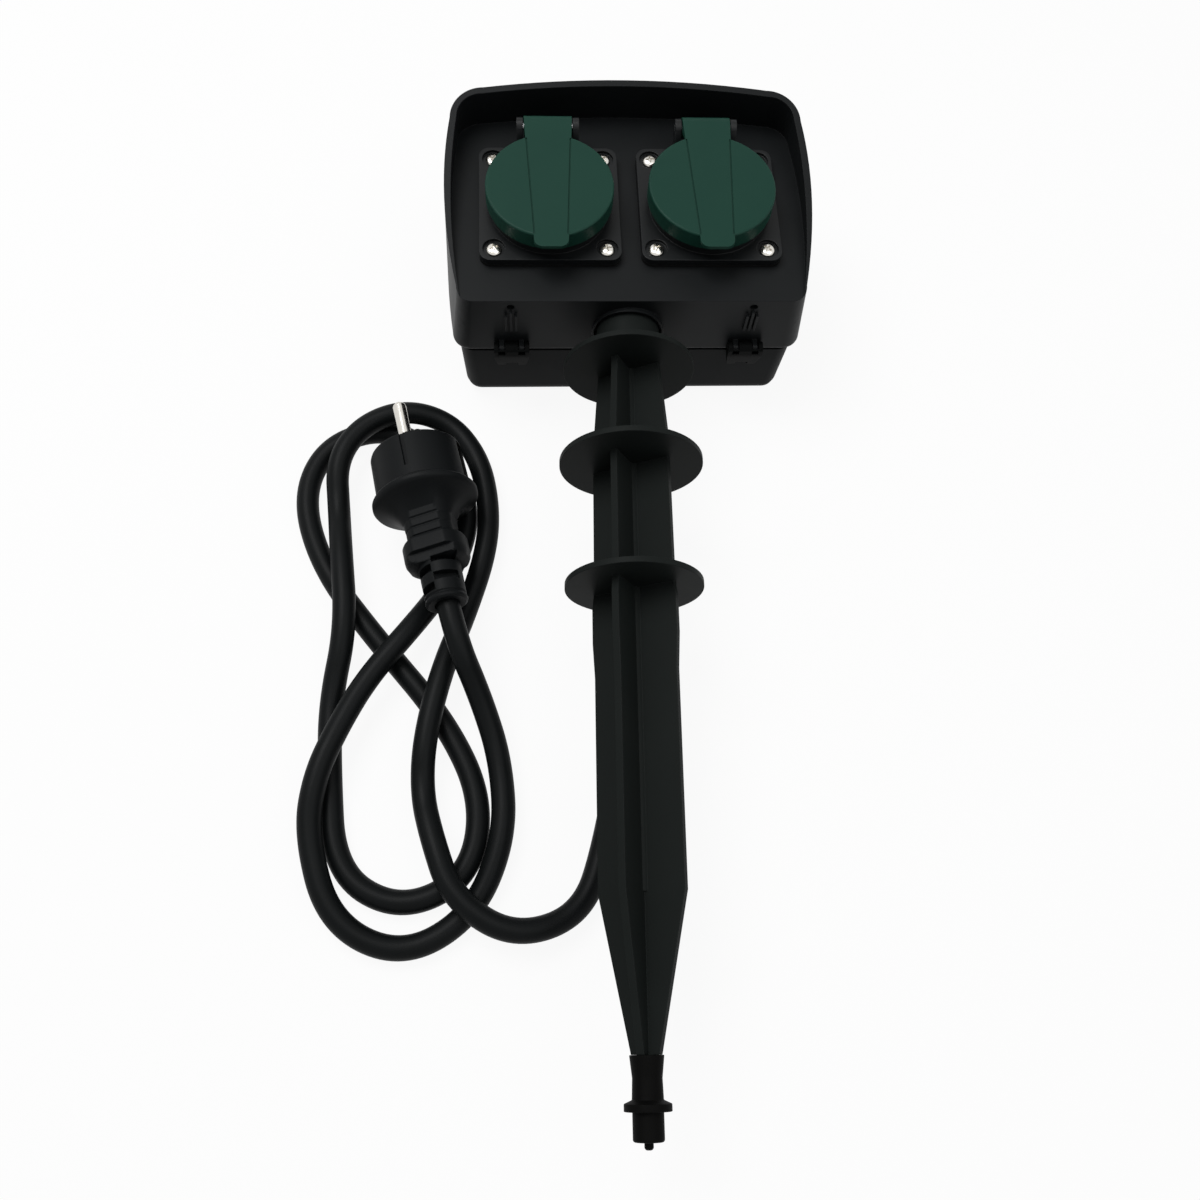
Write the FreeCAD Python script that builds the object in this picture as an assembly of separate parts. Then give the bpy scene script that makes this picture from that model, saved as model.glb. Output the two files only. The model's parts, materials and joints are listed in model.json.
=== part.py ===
"""Garden socket spike with timer, every piece a separate solid, in millimetres.

The part lies on its back. The origin is the centre of the rear cover's flat back, +Z points out of the
sockets, +Y to the top of the rain hood, and the spike runs along -Y. A height is a distance above the
housing's bottom wall, counted along +Y.
"""

import FreeCAD, Part
import math
import os
from dataclasses import dataclass, replace

Vector = FreeCAD.Vector
RIGHT = Vector(1, 0, 0)
UP = Vector(0, 1, 0)
FRONT = Vector(0, 0, 1)

# Housing: depths from the rear cover's back, heights from the bottom wall
BACK_HALF_WIDTHS = (64.8, 66.8, 65.2)
BACK_HEIGHTS = (-0.8, 82.6, 86.3)
BACK_CORNERS = (6.5, 12.0)
FRONT_HALF_WIDTHS = (60.0, 65.3, 63.4)
FRONT_HEIGHTS = (0.5, 81.0, 84.5)
FRONT_CORNERS = (5.4, 12.0)
HOUSING_MIDDLE = 42.3
PARTING_Z = 29.0
FACE_Z = 57.9
FACE_THICKNESS = 2.7
HOOD_TOP_Z = 76.0
RIM_SLOPE = 0.19
WALL = 2.8
HOOD_WALL = 2.4
LIP_RADIUS = 2.2
FACE_CORNER = 9.0

# Rear cover
COVER_SET_IN = 0.3
COVER_INSETS = (1.1, 5.1, 4.7)
COVER_CORNERS = (5.5, 11.0)
COVER_TOP_Z = 28.0
COVER_DRAFT = 1.8
COVER_FLARE = 1.2
COVER_WALL = 3.0
COVER_BACK = 2.6
BACK_EDGE_RADIUS = 6.0
GASKET_INSET = 0.8
GASKET_WIDTH = 1.4

# Cover hinge
HINGE_HEIGHT = 84.6
HINGE_Z = 24.5
HINGE_X = 35.0
HINGE_RADIUS = 3.0
HINGE_PIN_RADIUS = 1.5
KNUCKLE_LENGTH = 7.0
HINGE_GAP = 0.3

# Cover latches
LATCH_X = 43.0
LATCH_PIVOT_Z = 34.3
LATCH_RADIUS = 2.1
LATCH_EYE_RADIUS = 1.5
LATCH_SKIN = 0.6
LATCH_HALF_WIDTH = 6.4
LATCH_TONGUE_HALF_WIDTH = 5.4
LATCH_THICKNESS = 2.4
LATCH_END_Z = 23.4
LATCH_PIN_RADIUS = 0.8
LATCH_GAP = 0.35
LATCH_EAR_OFFSET = 3.6
LATCH_EAR_THICKNESS = 1.8
NUB_HALF_WIDTH = 2.0
NUB_TOP_Z = 25.8
NUB_DEPTH = 1.0
GRIP_RIB_LENGTH = 10.6
GRIP_RIB_Z = 42.5
GRIP_RIB_PITCH = 1.75
DRAIN_RADIUS = 1.4
DRAIN_DEPTH = 1.8

# Sockets
SOCKET_X = 28.6
FLANGE_HEIGHT = 39.6
FLANGE_SIZE = 50.0
FLANGE_THICKNESS = 2.7
FLANGE_CORNER = 4.0
FLANGE_GASKET = 1.0
WELL_DROP = 1.2
WELL_RADIUS = 19.5
WELL_WALL = 1.8
WELL_DEPTH = 17.5
WELL_FLOOR = 2.0
COLLAR_TOP_Z = 68.9
BARREL_RADIUS = 20.9
PANEL_GAP = 0.3
SCREW_PITCH = 39.8
SCREW_HEAD_RADIUS = 2.7
SCREW_RECESS_RADIUS = 3.9
SCREW_RECESS_DEPTH = 1.2
SCREW_SHANK_RADIUS = 1.4
SCREW_END_Z = 52.2
SCREW_BOSS_RADIUS = 3.6
SCREW_BOSS_END_Z = 51.6
PIN_SPACING = 19.0
PIN_HOLE_RADIUS = 2.9
CONTACT_RADIUS = 3.6
CONTACT_BORE_RADIUS = 2.45
CONTACT_LENGTH = 13.0
CARRIER_RADIUS = 19.0
CARRIER_BACK_Z = 35.5
EARTH_CLIP_WIDTH = 4.8
EARTH_CLIP_THICKNESS = 0.8

# Lids
LID_RADIUS = 22.5
LID_PLATE = 2.4
LID_SKIRT_WALL = 0.9
LID_SKIRT_DEPTH = 6.5
LID_SKIRT_BREAK = 15.0
LID_HINGE_STANDOFF = 6.7
LID_BARREL_SINK = 0.1
LID_BARREL_RADIUS = 3.6
LID_BAND_HALF_WIDTH = 8.6
LID_TAB_HALF_WIDTH = 5.8
LID_TAB_LENGTH = 4.1
LID_TAB_THICKNESS = 1.4
LID_TAB_CORNER = 3.0
LID_GROOVE = 0.5
LID_PIN_RADIUS = 1.25
EAR_RADIUS = 3.2
EAR_THICKNESS = 2.3
EAR_GAP = 0.3
SEAL_INNER_RADIUS = 18.6
SEAL_THICKNESS = 0.9
SEAL_GAP = 0.1
SPRING_RADIUS = 2.6
SPRING_LENGTH = 5.6
RUNNING_GAP = 0.05

# Spike
SPIKE_X = -1.0
SPIKE_Z = 41.4
SPIKE_LEAN_DEG = -1.6
SPIKE_TURN_DEG = -29.5
NECK_RADIUS = 11.25
NECK_WALL = 2.4
NECK_GAP = 0.08
BOSS_RADIUS = 13.4
BOSS_DEPTH = 24.0
MOUTH_RADIUS = 13.0
MOUTH_BORE_RADIUS = 12.2
MOUTH_HEIGHT = 1.7
CLIP_RADIUS = 12.6
CLIP_THICKNESS = 1.2
CLIP_GROOVE_DEPTH = 1.2
O_RING_RADIUS = 0.8
O_RING_DEPTH = 6.0
DISC_THICKNESS = 2.0
DISC_DEPTHS = (17.3, 55.3, 100.9)
DISC_RADII = (23.2, 24.7, 23.0)
RIB_THICKNESS = 2.4
RIB_NECK_SPAN = 11.6
RIB_SPAN = 14.3
RIB_SWELL = 0.7
RIB_SWELL_START = 6.0
RIB_TAPER_DEPTH = 199.0
RIB_TIP_SPAN = 4.4
CAP_MOUTH_DEPTH = 244.0
CAP_LENGTH = 22.3
CAP_RADIUS = 5.0
CAP_WAIST_RADIUS = 4.3
CAP_BORE_RADIUS = 3.1
CAP_GAP = 0.15
CAP_MOUTH_GAP = 0.05
CAP_COLLAR_RADIUS = 6.8
CAP_COLLAR_THICKNESS = 2.0
CAP_COLLAR_DEPTH = 13.6
CAP_NUB_RADIUS = 1.3
CAP_NUB_LENGTH = 2.0

# Partition panel and timer
PANEL_THICKNESS = 2.5
PANEL_BOSS_RADIUS = 3.4
PANEL_SCREW_RADIUS = 1.4
PANEL_SCREW_HEAD = 2.8
PANEL_SCREW_LENGTH = 11.0
PANEL_SCREW_X = 52.0
PANEL_SCREW_ROWS = (13.0, 66.0)
PANEL_SCREW_CROWN = 75.0
SCREW_SLOT_WIDTH = 0.7
SCREW_SLOT_DEPTH = 0.7
SCREW_HEAD_DEPTH = 1.8
THROUGH = 200.0
TIMER_HEIGHT = 48.0
TIMER_HALF_WIDTH = 40.0
TIMER_HALF_HEIGHT = 23.5
TIMER_FRONT_Z = 14.0
TIMER_WALL = 1.6
DIAL_RADIUS = 26.0
DIAL_HUB_RADIUS = 4.0
DIAL_BACK_Z = 8.6
TAPPET_COUNT = 48
TAPPET_WIDTH = 2.6
TAPPET_DEPTH = 3.4
TAPPET_LENGTH = 5.0
MOTOR_RADIUS = 14.0
MOTOR_LENGTH = 10.0
MOTOR_X = -18.0
TIMER_SCREW_LENGTH = 8.0
LINK_WIRE_PITCH = 5.0
LINK_WIRE_INSET = 6.0
SWITCH_X = 34.0
SWITCH_TRAVEL = 6.0
SWITCH_SLOT_WIDTH = 3.0

# Cord entry
GLAND_X = -2.0
GLAND_Z = 12.0
GLAND_RADIUS = 7.5
GLAND_FLANGE_RADIUS = 8.6
GLAND_END_RADIUS = 5.2
GLAND_LENGTH = 22.0
NOTCH_GAP = 0.3
CORD_RADIUS = 4.05
CORD_STRAIGHT = 55.5
CORD_STRAIGHT_PLUG = 11.6
SADDLE_WIDTH = 22.0
SADDLE_START = 7.4
SADDLE_END = 16.0
CLAMP_THICKNESS = 6.0
SHEATH_END = 16.6
WIRE_RADIUS = 1.1

# Plug
PLUG_END = Vector(-66.1, -142.0, 25.3)
PLUG_TURN_DEG = 11.5
PLUG_PITCH_DEG = 4.0
PLUG_PIN_TILT_DEG = 13.5
PLUG_RELIEF_LENGTH = 15.4
PLUG_LENGTH = 59.2
PLUG_RADIUS = 16.4
PLUG_FLANGE_RADIUS = 18.8
PLUG_FLANGE_START = 39.9
PLUG_KNOB_RADIUS = 10.9
PLUG_GRIP_RADIUS = 7.9
PLUG_RELIEF_RADIUS = 6.8
PLUG_PIN_RADIUS = 2.4
PLUG_PIN_LENGTH = 19.0


def up(height):
    """The Y of a height above the housing's bottom wall."""
    return height - HOUSING_MIDDLE


def box(x0, x1, y0, y1, z0, z1):
    """A block between two corners."""
    return Part.makeBox(x1 - x0, y1 - y0, z1 - z0, Vector(x0, y0, z0))


def rod(radius, start, axis, length):
    """A round bar from a start point along an axis."""
    return Part.makeCylinder(radius, length, start, axis)


def tube(outer, inner, start, axis, length):
    """A round tube from a start point along an axis."""
    return rod(outer, start, axis, length).cut(rod(inner, start, axis, length))


def fuse(shapes):
    """One solid from several that overlap."""
    shapes = list(shapes)
    return shapes[0].multiFuse(shapes[1:]).removeSplitter()


def cut(shape, tools):
    """A shape less each of the tools."""
    return shape.cut(Part.makeCompound(list(tools)))


def slab(cx, cy, half_x, half_y, corner, z0, z1):
    """A flat plate with rounded corners, standing on z0."""
    plate = box(cx - half_x, cx + half_x, cy - half_y, cy + half_y, z0, z1)
    upright = [e for e in plate.Edges if abs(e.Vertexes[0].Z - e.Vertexes[1].Z) > 1e-6]
    return plate.makeFillet(corner, upright)


def prism(points, direction):
    """A polygon of points pushed along a direction."""
    wire = Part.makePolygon(points + points[:1])
    return Part.Face(wire).extrude(direction)


def revolve(profile, start, axis, side):
    """A solid of revolution from (distance along the axis, radius) pairs."""
    points = [start + axis * along + side * radius for along, radius in profile]
    wire = Part.makePolygon(points + points[:1])
    return Part.Face(wire).revolve(start, axis, 360)


def rounded_path(points, share=0.45):
    """Straight runs joined by tangent arcs, and the radius of each arc."""
    edges = []
    radii = []
    last = points[0]
    for before, corner, after in zip(points, points[1:], points[2:]):
        back = before - corner
        ahead = after - corner
        half_turn = (math.pi - back.getAngle(ahead)) / 2
        reach = share * min(back.Length, ahead.Length)
        radii.append(reach / math.tan(half_turn))
        back.normalize()
        ahead.normalize()
        first = corner + back * reach
        final = corner + ahead * reach
        inward = back + ahead
        inward.normalize()
        middle = corner + inward * (radii[-1] / math.cos(half_turn) - radii[-1])
        edges.append(Part.LineSegment(last, first).toShape())
        edges.append(Part.Arc(first, middle, final).toShape())
        last = final
    edges.append(Part.LineSegment(last, points[-1]).toShape())
    return Part.Wire(edges), radii


def round_bar(points, radius, share=0.45):
    """A round bar along straight runs and tangent arcs, and the radius of each arc."""
    path, radii = rounded_path(points, share)
    direction = points[1] - points[0]
    section = Part.Wire(Part.makeCircle(radius, points[0], direction))
    shell = Part.BRepOffsetAPI.MakePipeShell(path)
    shell.add(section)
    shell.build()
    shell.makeSolid()
    return shell.shape(), radii, path.Length


@dataclass(frozen=True)
class Outline:
    """A plan outline that bulges at its sides and top, as half widths and heights."""

    half_bottom: float
    half_middle: float
    half_top: float
    low: float
    shoulder: float
    crown: float
    low_corner: float
    high_corner: float

    def inset(self, step):
        """The same outline moved inwards by a step."""
        return Outline(
            self.half_bottom - step,
            self.half_middle - step,
            self.half_top - step,
            self.low + step,
            self.shoulder - step,
            self.crown - step,
            max(self.low_corner - 0.6 * step, 1.0),
            max(self.high_corner - 0.6 * step, 1.0),
        )

    def toward(self, other, share):
        """The outline part of the way to another."""
        pairs = zip(self.__dict__.values(), other.__dict__.values())
        return Outline(*[a + (b - a) * share for a, b in pairs])

    def wire(self, z):
        """The closed wire of the outline at a depth, always of eight edges."""
        soft = 1 - math.sqrt(0.5)
        low_end = self.low + self.low_corner
        high_end = self.shoulder - self.high_corner
        right = [
            (self.half_bottom - self.low_corner, self.low),
            (self.half_bottom - soft * self.low_corner, self.low + soft * self.low_corner),
            (self.half_bottom, low_end),
            (self.half_middle, (low_end + high_end) / 2),
            (self.half_top, high_end),
            (self.half_top - soft * self.high_corner, self.shoulder - soft * self.high_corner),
            (self.half_top - self.high_corner, self.shoulder),
        ]
        ring = right + [(0, self.crown)] + [(-x, h) for x, h in reversed(right)]
        p = [Vector(x, up(h), z) for x, h in ring]
        edges = [Part.LineSegment(p[14], p[0]).toShape()]
        edges += [Part.Arc(p[i], p[i + 1], p[i + 2]).toShape() for i in range(0, 14, 2)]
        return Part.Wire(edges)


HOUSING_BACK = Outline(*BACK_HALF_WIDTHS, *BACK_HEIGHTS, *BACK_CORNERS)
HOUSING_FRONT = Outline(*FRONT_HALF_WIDTHS, *FRONT_HEIGHTS, *FRONT_CORNERS)
COVER_OUTLINE = Outline(
    *[half - LIP_RADIUS - COVER_SET_IN for half in BACK_HALF_WIDTHS],
    BACK_HEIGHTS[0] + COVER_INSETS[0],
    BACK_HEIGHTS[1] - COVER_INSETS[1],
    BACK_HEIGHTS[2] - COVER_INSETS[2],
    *COVER_CORNERS,
)


def housing_outline(z):
    """The housing's outer outline at a depth."""
    return HOUSING_BACK.toward(HOUSING_FRONT, (z - PARTING_Z) / (HOOD_TOP_Z - PARTING_Z))


def loft(sections):
    """A solid through (outline, depth) pairs."""
    return Part.makeLoft([outline.wire(z) for outline, z in sections], True, True)


def rounded_edge(outline_at, z, radius, steps=4):
    """Outline sections that round the back edge of a shell, from the edge inwards."""
    sections = []
    for i in range(steps):
        angle = 0.5 * math.pi * i / steps
        depth = z + radius * (1 - math.cos(angle))
        sections.append((outline_at(depth).inset(radius * (1 - math.sin(angle))), depth))
    return sections


def lean(shape, turn=0.0):
    """Puts a piece built about the upright spike axis at the spike's real place."""
    base = Vector(SPIKE_X, up(0), SPIKE_Z)
    placed = shape.copy()
    placed.rotate(base, UP, turn)
    placed.rotate(base, FRONT, SPIKE_LEAN_DEG)
    return placed


def spike_point(depth):
    """A point on the upright spike axis, a depth below the housing's bottom wall."""
    return Vector(SPIKE_X, up(-depth), SPIKE_Z)


def screw_places(cx, cy, pitch):
    """Four screw centres on a square."""
    half = pitch / 2
    return [(cx + sx * half, cy + sy * half) for sx in (-1, 1) for sy in (-1, 1)]


FLANGE_BACK_Z = FACE_Z + FLANGE_GASKET
FLANGE_TOP_Z = FLANGE_BACK_Z + FLANGE_THICKNESS
WELL_Y = up(FLANGE_HEIGHT - WELL_DROP)
WELL_FLOOR_Z = COLLAR_TOP_Z - WELL_DEPTH
LID_TOP_Z = COLLAR_TOP_Z + SEAL_GAP + SEAL_THICKNESS + LID_PLATE
LID_HINGE_Z = LID_TOP_Z - LID_BARREL_RADIUS - LID_BARREL_SINK
LID_HINGE_HEIGHT = FLANGE_HEIGHT - WELL_DROP + LID_RADIUS + LID_HINGE_STANDOFF
BARREL_END_Z = WELL_FLOOR_Z - WELL_FLOOR
PANEL_FRONT_Z = PARTING_Z + PANEL_THICKNESS
BOTTOM_WALL_AT_LATCH = housing_outline(LATCH_PIVOT_Z).low
LATCH_PIVOT_HEIGHT = BOTTOM_WALL_AT_LATCH - LATCH_GAP - LATCH_RADIUS
PANEL_SCREWS = [(side * PANEL_SCREW_X, height) for height in PANEL_SCREW_ROWS for side in (-1, 1)]
PANEL_SCREWS.append((0.0, PANEL_SCREW_CROWN))


def front_housing():
    """The hooded front shell with its recessed face, bosses, ears and the spike's socket."""
    lip = rounded_edge(housing_outline, PARTING_Z, LIP_RADIUS)
    full_z = PARTING_Z + LIP_RADIUS
    shell = loft(lip + [(housing_outline(full_z), full_z), (HOUSING_FRONT, HOOD_TOP_Z)])
    reach = THROUGH
    rim = [
        Vector(-reach, up(0), FACE_Z),
        Vector(-reach, up(reach), FACE_Z + RIM_SLOPE * reach),
        Vector(-reach, up(reach), HOOD_TOP_Z + reach),
        Vector(-reach, up(-reach), HOOD_TOP_Z + reach),
        Vector(-reach, up(-reach), FACE_Z),
    ]
    pocket = [
        (replace(housing_outline(z).inset(HOOD_WALL), low=-FACE_CORNER, high_corner=FACE_CORNER), z)
        for z in (FACE_Z, HOOD_TOP_Z + 1)
    ]
    inside_end = FACE_Z - FACE_THICKNESS
    cavity = [(housing_outline(z).inset(WALL), z) for z in (PARTING_Z - 1, inside_end)]
    shell = cut(shell, [prism(rim, RIGHT * 2 * reach), loft(pocket), loft(cavity)])

    inner = housing_outline(inside_end).inset(WALL)
    inner_box = loft([(inner.inset(-0.5 * WALL), PARTING_Z), (inner.inset(-0.5 * WALL), inside_end + 1)])
    bosses = []
    holes = []
    for side in (-1, 1):
        x = side * SOCKET_X
        holes.append(rod(BARREL_RADIUS + PANEL_GAP, Vector(x, WELL_Y, inside_end - 5), FRONT, 20))
        for sx, sy in screw_places(x, up(FLANGE_HEIGHT), SCREW_PITCH):
            bosses.append(rod(SCREW_BOSS_RADIUS, Vector(sx, sy, SCREW_BOSS_END_Z), FRONT, FACE_Z - SCREW_BOSS_END_Z))
            holes.append(rod(SCREW_SHANK_RADIUS + RUNNING_GAP, Vector(sx, sy, SCREW_BOSS_END_Z - 1), FRONT, 20))
    for x, height in PANEL_SCREWS:
        start = Vector(x, up(height), PANEL_FRONT_Z)
        bosses.append(rod(PANEL_BOSS_RADIUS, start, FRONT, inside_end + 1 - PANEL_FRONT_Z))
        holes.append(rod(PANEL_SCREW_RADIUS + RUNNING_GAP, start - FRONT, FRONT, PANEL_SCREW_LENGTH))
    bosses = [boss.common(inner_box) for boss in bosses]

    boss = fuse([rod(BOSS_RADIUS, spike_point(0), UP, BOSS_DEPTH), rod(MOUTH_RADIUS, spike_point(MOUTH_HEIGHT), UP, 4)])
    boss = cut(lean(boss), [box(-30, 30, up(-10), up(40), 0, PARTING_Z)])
    saddle = box(
        GLAND_X - SADDLE_WIDTH / 2, GLAND_X + SADDLE_WIDTH / 2,
        up(SADDLE_START), up(SADDLE_END), GLAND_Z + 0.1, PARTING_Z + 0.5,
    )
    neck_bore = lean(rod(NECK_RADIUS + NECK_GAP, spike_point(10), UP, BOSS_DEPTH + 20))
    mouth_bore = lean(rod(MOUTH_BORE_RADIUS, spike_point(MOUTH_HEIGHT + 1), UP, MOUTH_HEIGHT + 1.6))
    cord_bore = rod(CORD_RADIUS + RUNNING_GAP, Vector(GLAND_X, up(0), GLAND_Z), UP, 30)
    clamp_holes = [
        rod(PANEL_SCREW_RADIUS + RUNNING_GAP, Vector(x, up(clamp_height()), GLAND_Z - 1), FRONT, 11)
        for x in clamp_screw_xs()
    ]
    holes += [neck_bore, mouth_bore, cord_bore] + clamp_holes
    return cut(fuse([shell, boss, saddle] + bosses + hinge_ears() + latch_ears() + grip_ribs()), holes + ear_bores() + drain_holes())


def hinge_ears():
    """The housing's knuckles of the cover hinges, two beside each tongue of the cover."""
    ears = []
    for side in (-1, 1):
        for step in (-1, 1):
            x = side * HINGE_X + step * (KNUCKLE_LENGTH + HINGE_GAP)
            x0 = x - KNUCKLE_LENGTH / 2
            x1 = x + KNUCKLE_LENGTH / 2
            barrel = rod(HINGE_RADIUS, Vector(x0, up(HINGE_HEIGHT), HINGE_Z), RIGHT, KNUCKLE_LENGTH)
            web = box(x0, x1, up(HINGE_HEIGHT - 1.8), up(HINGE_HEIGHT) + HINGE_RADIUS, HINGE_Z, PARTING_Z + 5)
            ears.append(fuse([barrel, web]))
    return ears


def latch_ears():
    """The housing's lugs that carry the latch pins."""
    ears = []
    for side in (-1, 1):
        for step in (-1, 1):
            x = side * LATCH_X + step * LATCH_EAR_OFFSET
            x0 = x - LATCH_EAR_THICKNESS / 2
            y = up(LATCH_PIVOT_HEIGHT)
            eye = rod(LATCH_EYE_RADIUS, Vector(x0, y, LATCH_PIVOT_Z), RIGHT, LATCH_EAR_THICKNESS)
            arm = box(x0, x0 + LATCH_EAR_THICKNESS, y, up(1), LATCH_PIVOT_Z - LATCH_EYE_RADIUS, LATCH_PIVOT_Z + LATCH_EYE_RADIUS)
            ears.append(fuse([eye, arm]))
    return ears


def grip_ribs():
    """The three short ribs above each latch."""
    ribs = []
    for side in (-1, 1):
        for step in (-1, 0, 1):
            x = side * LATCH_X + step * GRIP_RIB_PITCH
            length = GRIP_RIB_LENGTH - (0 if step == 0 else 2)
            ribs.append(box(x - 0.45, x + 0.45, up(-1.7), up(1), GRIP_RIB_Z, GRIP_RIB_Z + length))
    return ribs


def drain_holes():
    """The small round holes above the grip ribs."""
    z = GRIP_RIB_Z + GRIP_RIB_LENGTH + DRAIN_RADIUS
    return [rod(DRAIN_RADIUS, Vector(side * LATCH_X, up(-3), z), UP, 3 + DRAIN_DEPTH) for side in (-1, 1)]


def ear_bores():
    """The holes for the hinge pins and latch pins."""
    bores = []
    for side in (-1, 1):
        start = Vector(side * HINGE_X - 2 * KNUCKLE_LENGTH, up(HINGE_HEIGHT), HINGE_Z)
        bores.append(rod(HINGE_PIN_RADIUS + RUNNING_GAP, start, RIGHT, 4 * KNUCKLE_LENGTH))
        start = Vector(side * LATCH_X - 10, up(LATCH_PIVOT_HEIGHT), LATCH_PIVOT_Z)
        bores.append(rod(LATCH_PIN_RADIUS + RUNNING_GAP, start, RIGHT, 20))
    return bores


def clamp_height():
    """The height of the cord clamp's screws."""
    return (SADDLE_START + SADDLE_END) / 2


def clamp_screw_xs():
    """The X places of the cord clamp's screws."""
    offset = SADDLE_WIDTH / 2 - 3.2
    return [GLAND_X - offset, GLAND_X + offset]


def cover_outline(z, step=0.0):
    """The rear cover's outline at a depth, moved inwards by a step."""
    share = (COVER_TOP_Z - z) / COVER_TOP_Z
    drawn_in = replace(
        COVER_OUTLINE,
        half_bottom=COVER_OUTLINE.half_bottom - COVER_DRAFT * share,
        half_middle=COVER_OUTLINE.half_middle - COVER_DRAFT * share,
        half_top=COVER_OUTLINE.half_top - COVER_DRAFT * share,
        low=COVER_OUTLINE.low - COVER_FLARE * share,
    )
    return drawn_in.inset(step)


def rear_cover():
    """The rear tray that closes the timer compartment, with its hinge tongues and latch nubs."""
    edge = rounded_edge(cover_outline, 0, BACK_EDGE_RADIUS)
    shell = loft(edge + [(cover_outline(z), z) for z in (BACK_EDGE_RADIUS, COVER_TOP_Z)])
    inner_edge = rounded_edge(lambda z: cover_outline(z, COVER_WALL), COVER_BACK, BACK_EDGE_RADIUS - COVER_BACK)
    cavity = loft(inner_edge + [(cover_outline(z, COVER_WALL), z) for z in (BACK_EDGE_RADIUS, COVER_TOP_Z + 1)])
    notch_radius = GLAND_RADIUS + NOTCH_GAP
    notch = [
        rod(notch_radius, Vector(GLAND_X, up(-3), GLAND_Z), UP, 10),
        box(GLAND_X - notch_radius, GLAND_X + notch_radius, up(-3), up(7), GLAND_Z, COVER_TOP_Z + 1),
    ]
    shell = cut(shell, [cavity] + notch)
    tongues = []
    for side in (-1, 1):
        x = side * HINGE_X
        half = KNUCKLE_LENGTH / 2
        barrel = rod(HINGE_RADIUS, Vector(x - half, up(HINGE_HEIGHT), HINGE_Z), RIGHT, 2 * half)
        root = COVER_OUTLINE.shoulder
        web = box(x - half, x + half, up(root), up(HINGE_HEIGHT), HINGE_Z - HINGE_RADIUS, HINGE_Z + HINGE_RADIUS)
        tongues.append(fuse([barrel, web]))
        nub_low = LATCH_PIVOT_HEIGHT + LATCH_RADIUS - NUB_DEPTH
        x = side * LATCH_X
        tongues.append(
            box(x - NUB_HALF_WIDTH, x + NUB_HALF_WIDTH, up(nub_low), up(COVER_OUTLINE.low + 1), LATCH_END_Z + 0.5, NUB_TOP_Z)
        )
    pins = [
        rod(HINGE_PIN_RADIUS + RUNNING_GAP, Vector(side * HINGE_X - 10, up(HINGE_HEIGHT), HINGE_Z), RIGHT, 20)
        for side in (-1, 1)
    ]
    trimmed = [tongue.cut(cavity) for tongue in tongues]
    return cut(fuse([shell] + trimmed), pins)


def cover_gasket():
    """The flat sealing ring between the rear cover and the housing."""
    outer = COVER_OUTLINE.inset(GASKET_INSET)
    inner = COVER_OUTLINE.inset(GASKET_INSET + GASKET_WIDTH)
    thick = PARTING_Z - COVER_TOP_Z - 0.1
    ring = loft([(outer, PARTING_Z - thick), (outer, PARTING_Z)])
    gap = box(
        GLAND_X - GLAND_RADIUS - NOTCH_GAP, GLAND_X + GLAND_RADIUS + NOTCH_GAP,
        up(-3), up(7), PARTING_Z - 3, PARTING_Z + 3,
    )
    return cut(ring, [loft([(inner, PARTING_Z - 3), (inner, PARTING_Z + 3)]), gap])


def hinge_pins():
    """The two steel pins of the cover hinges."""
    length = 3 * KNUCKLE_LENGTH + 2 * HINGE_GAP
    return Part.makeCompound([
        rod(HINGE_PIN_RADIUS, Vector(side * HINGE_X - length / 2, up(HINGE_HEIGHT), HINGE_Z), RIGHT, length)
        for side in (-1, 1)
    ])


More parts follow.
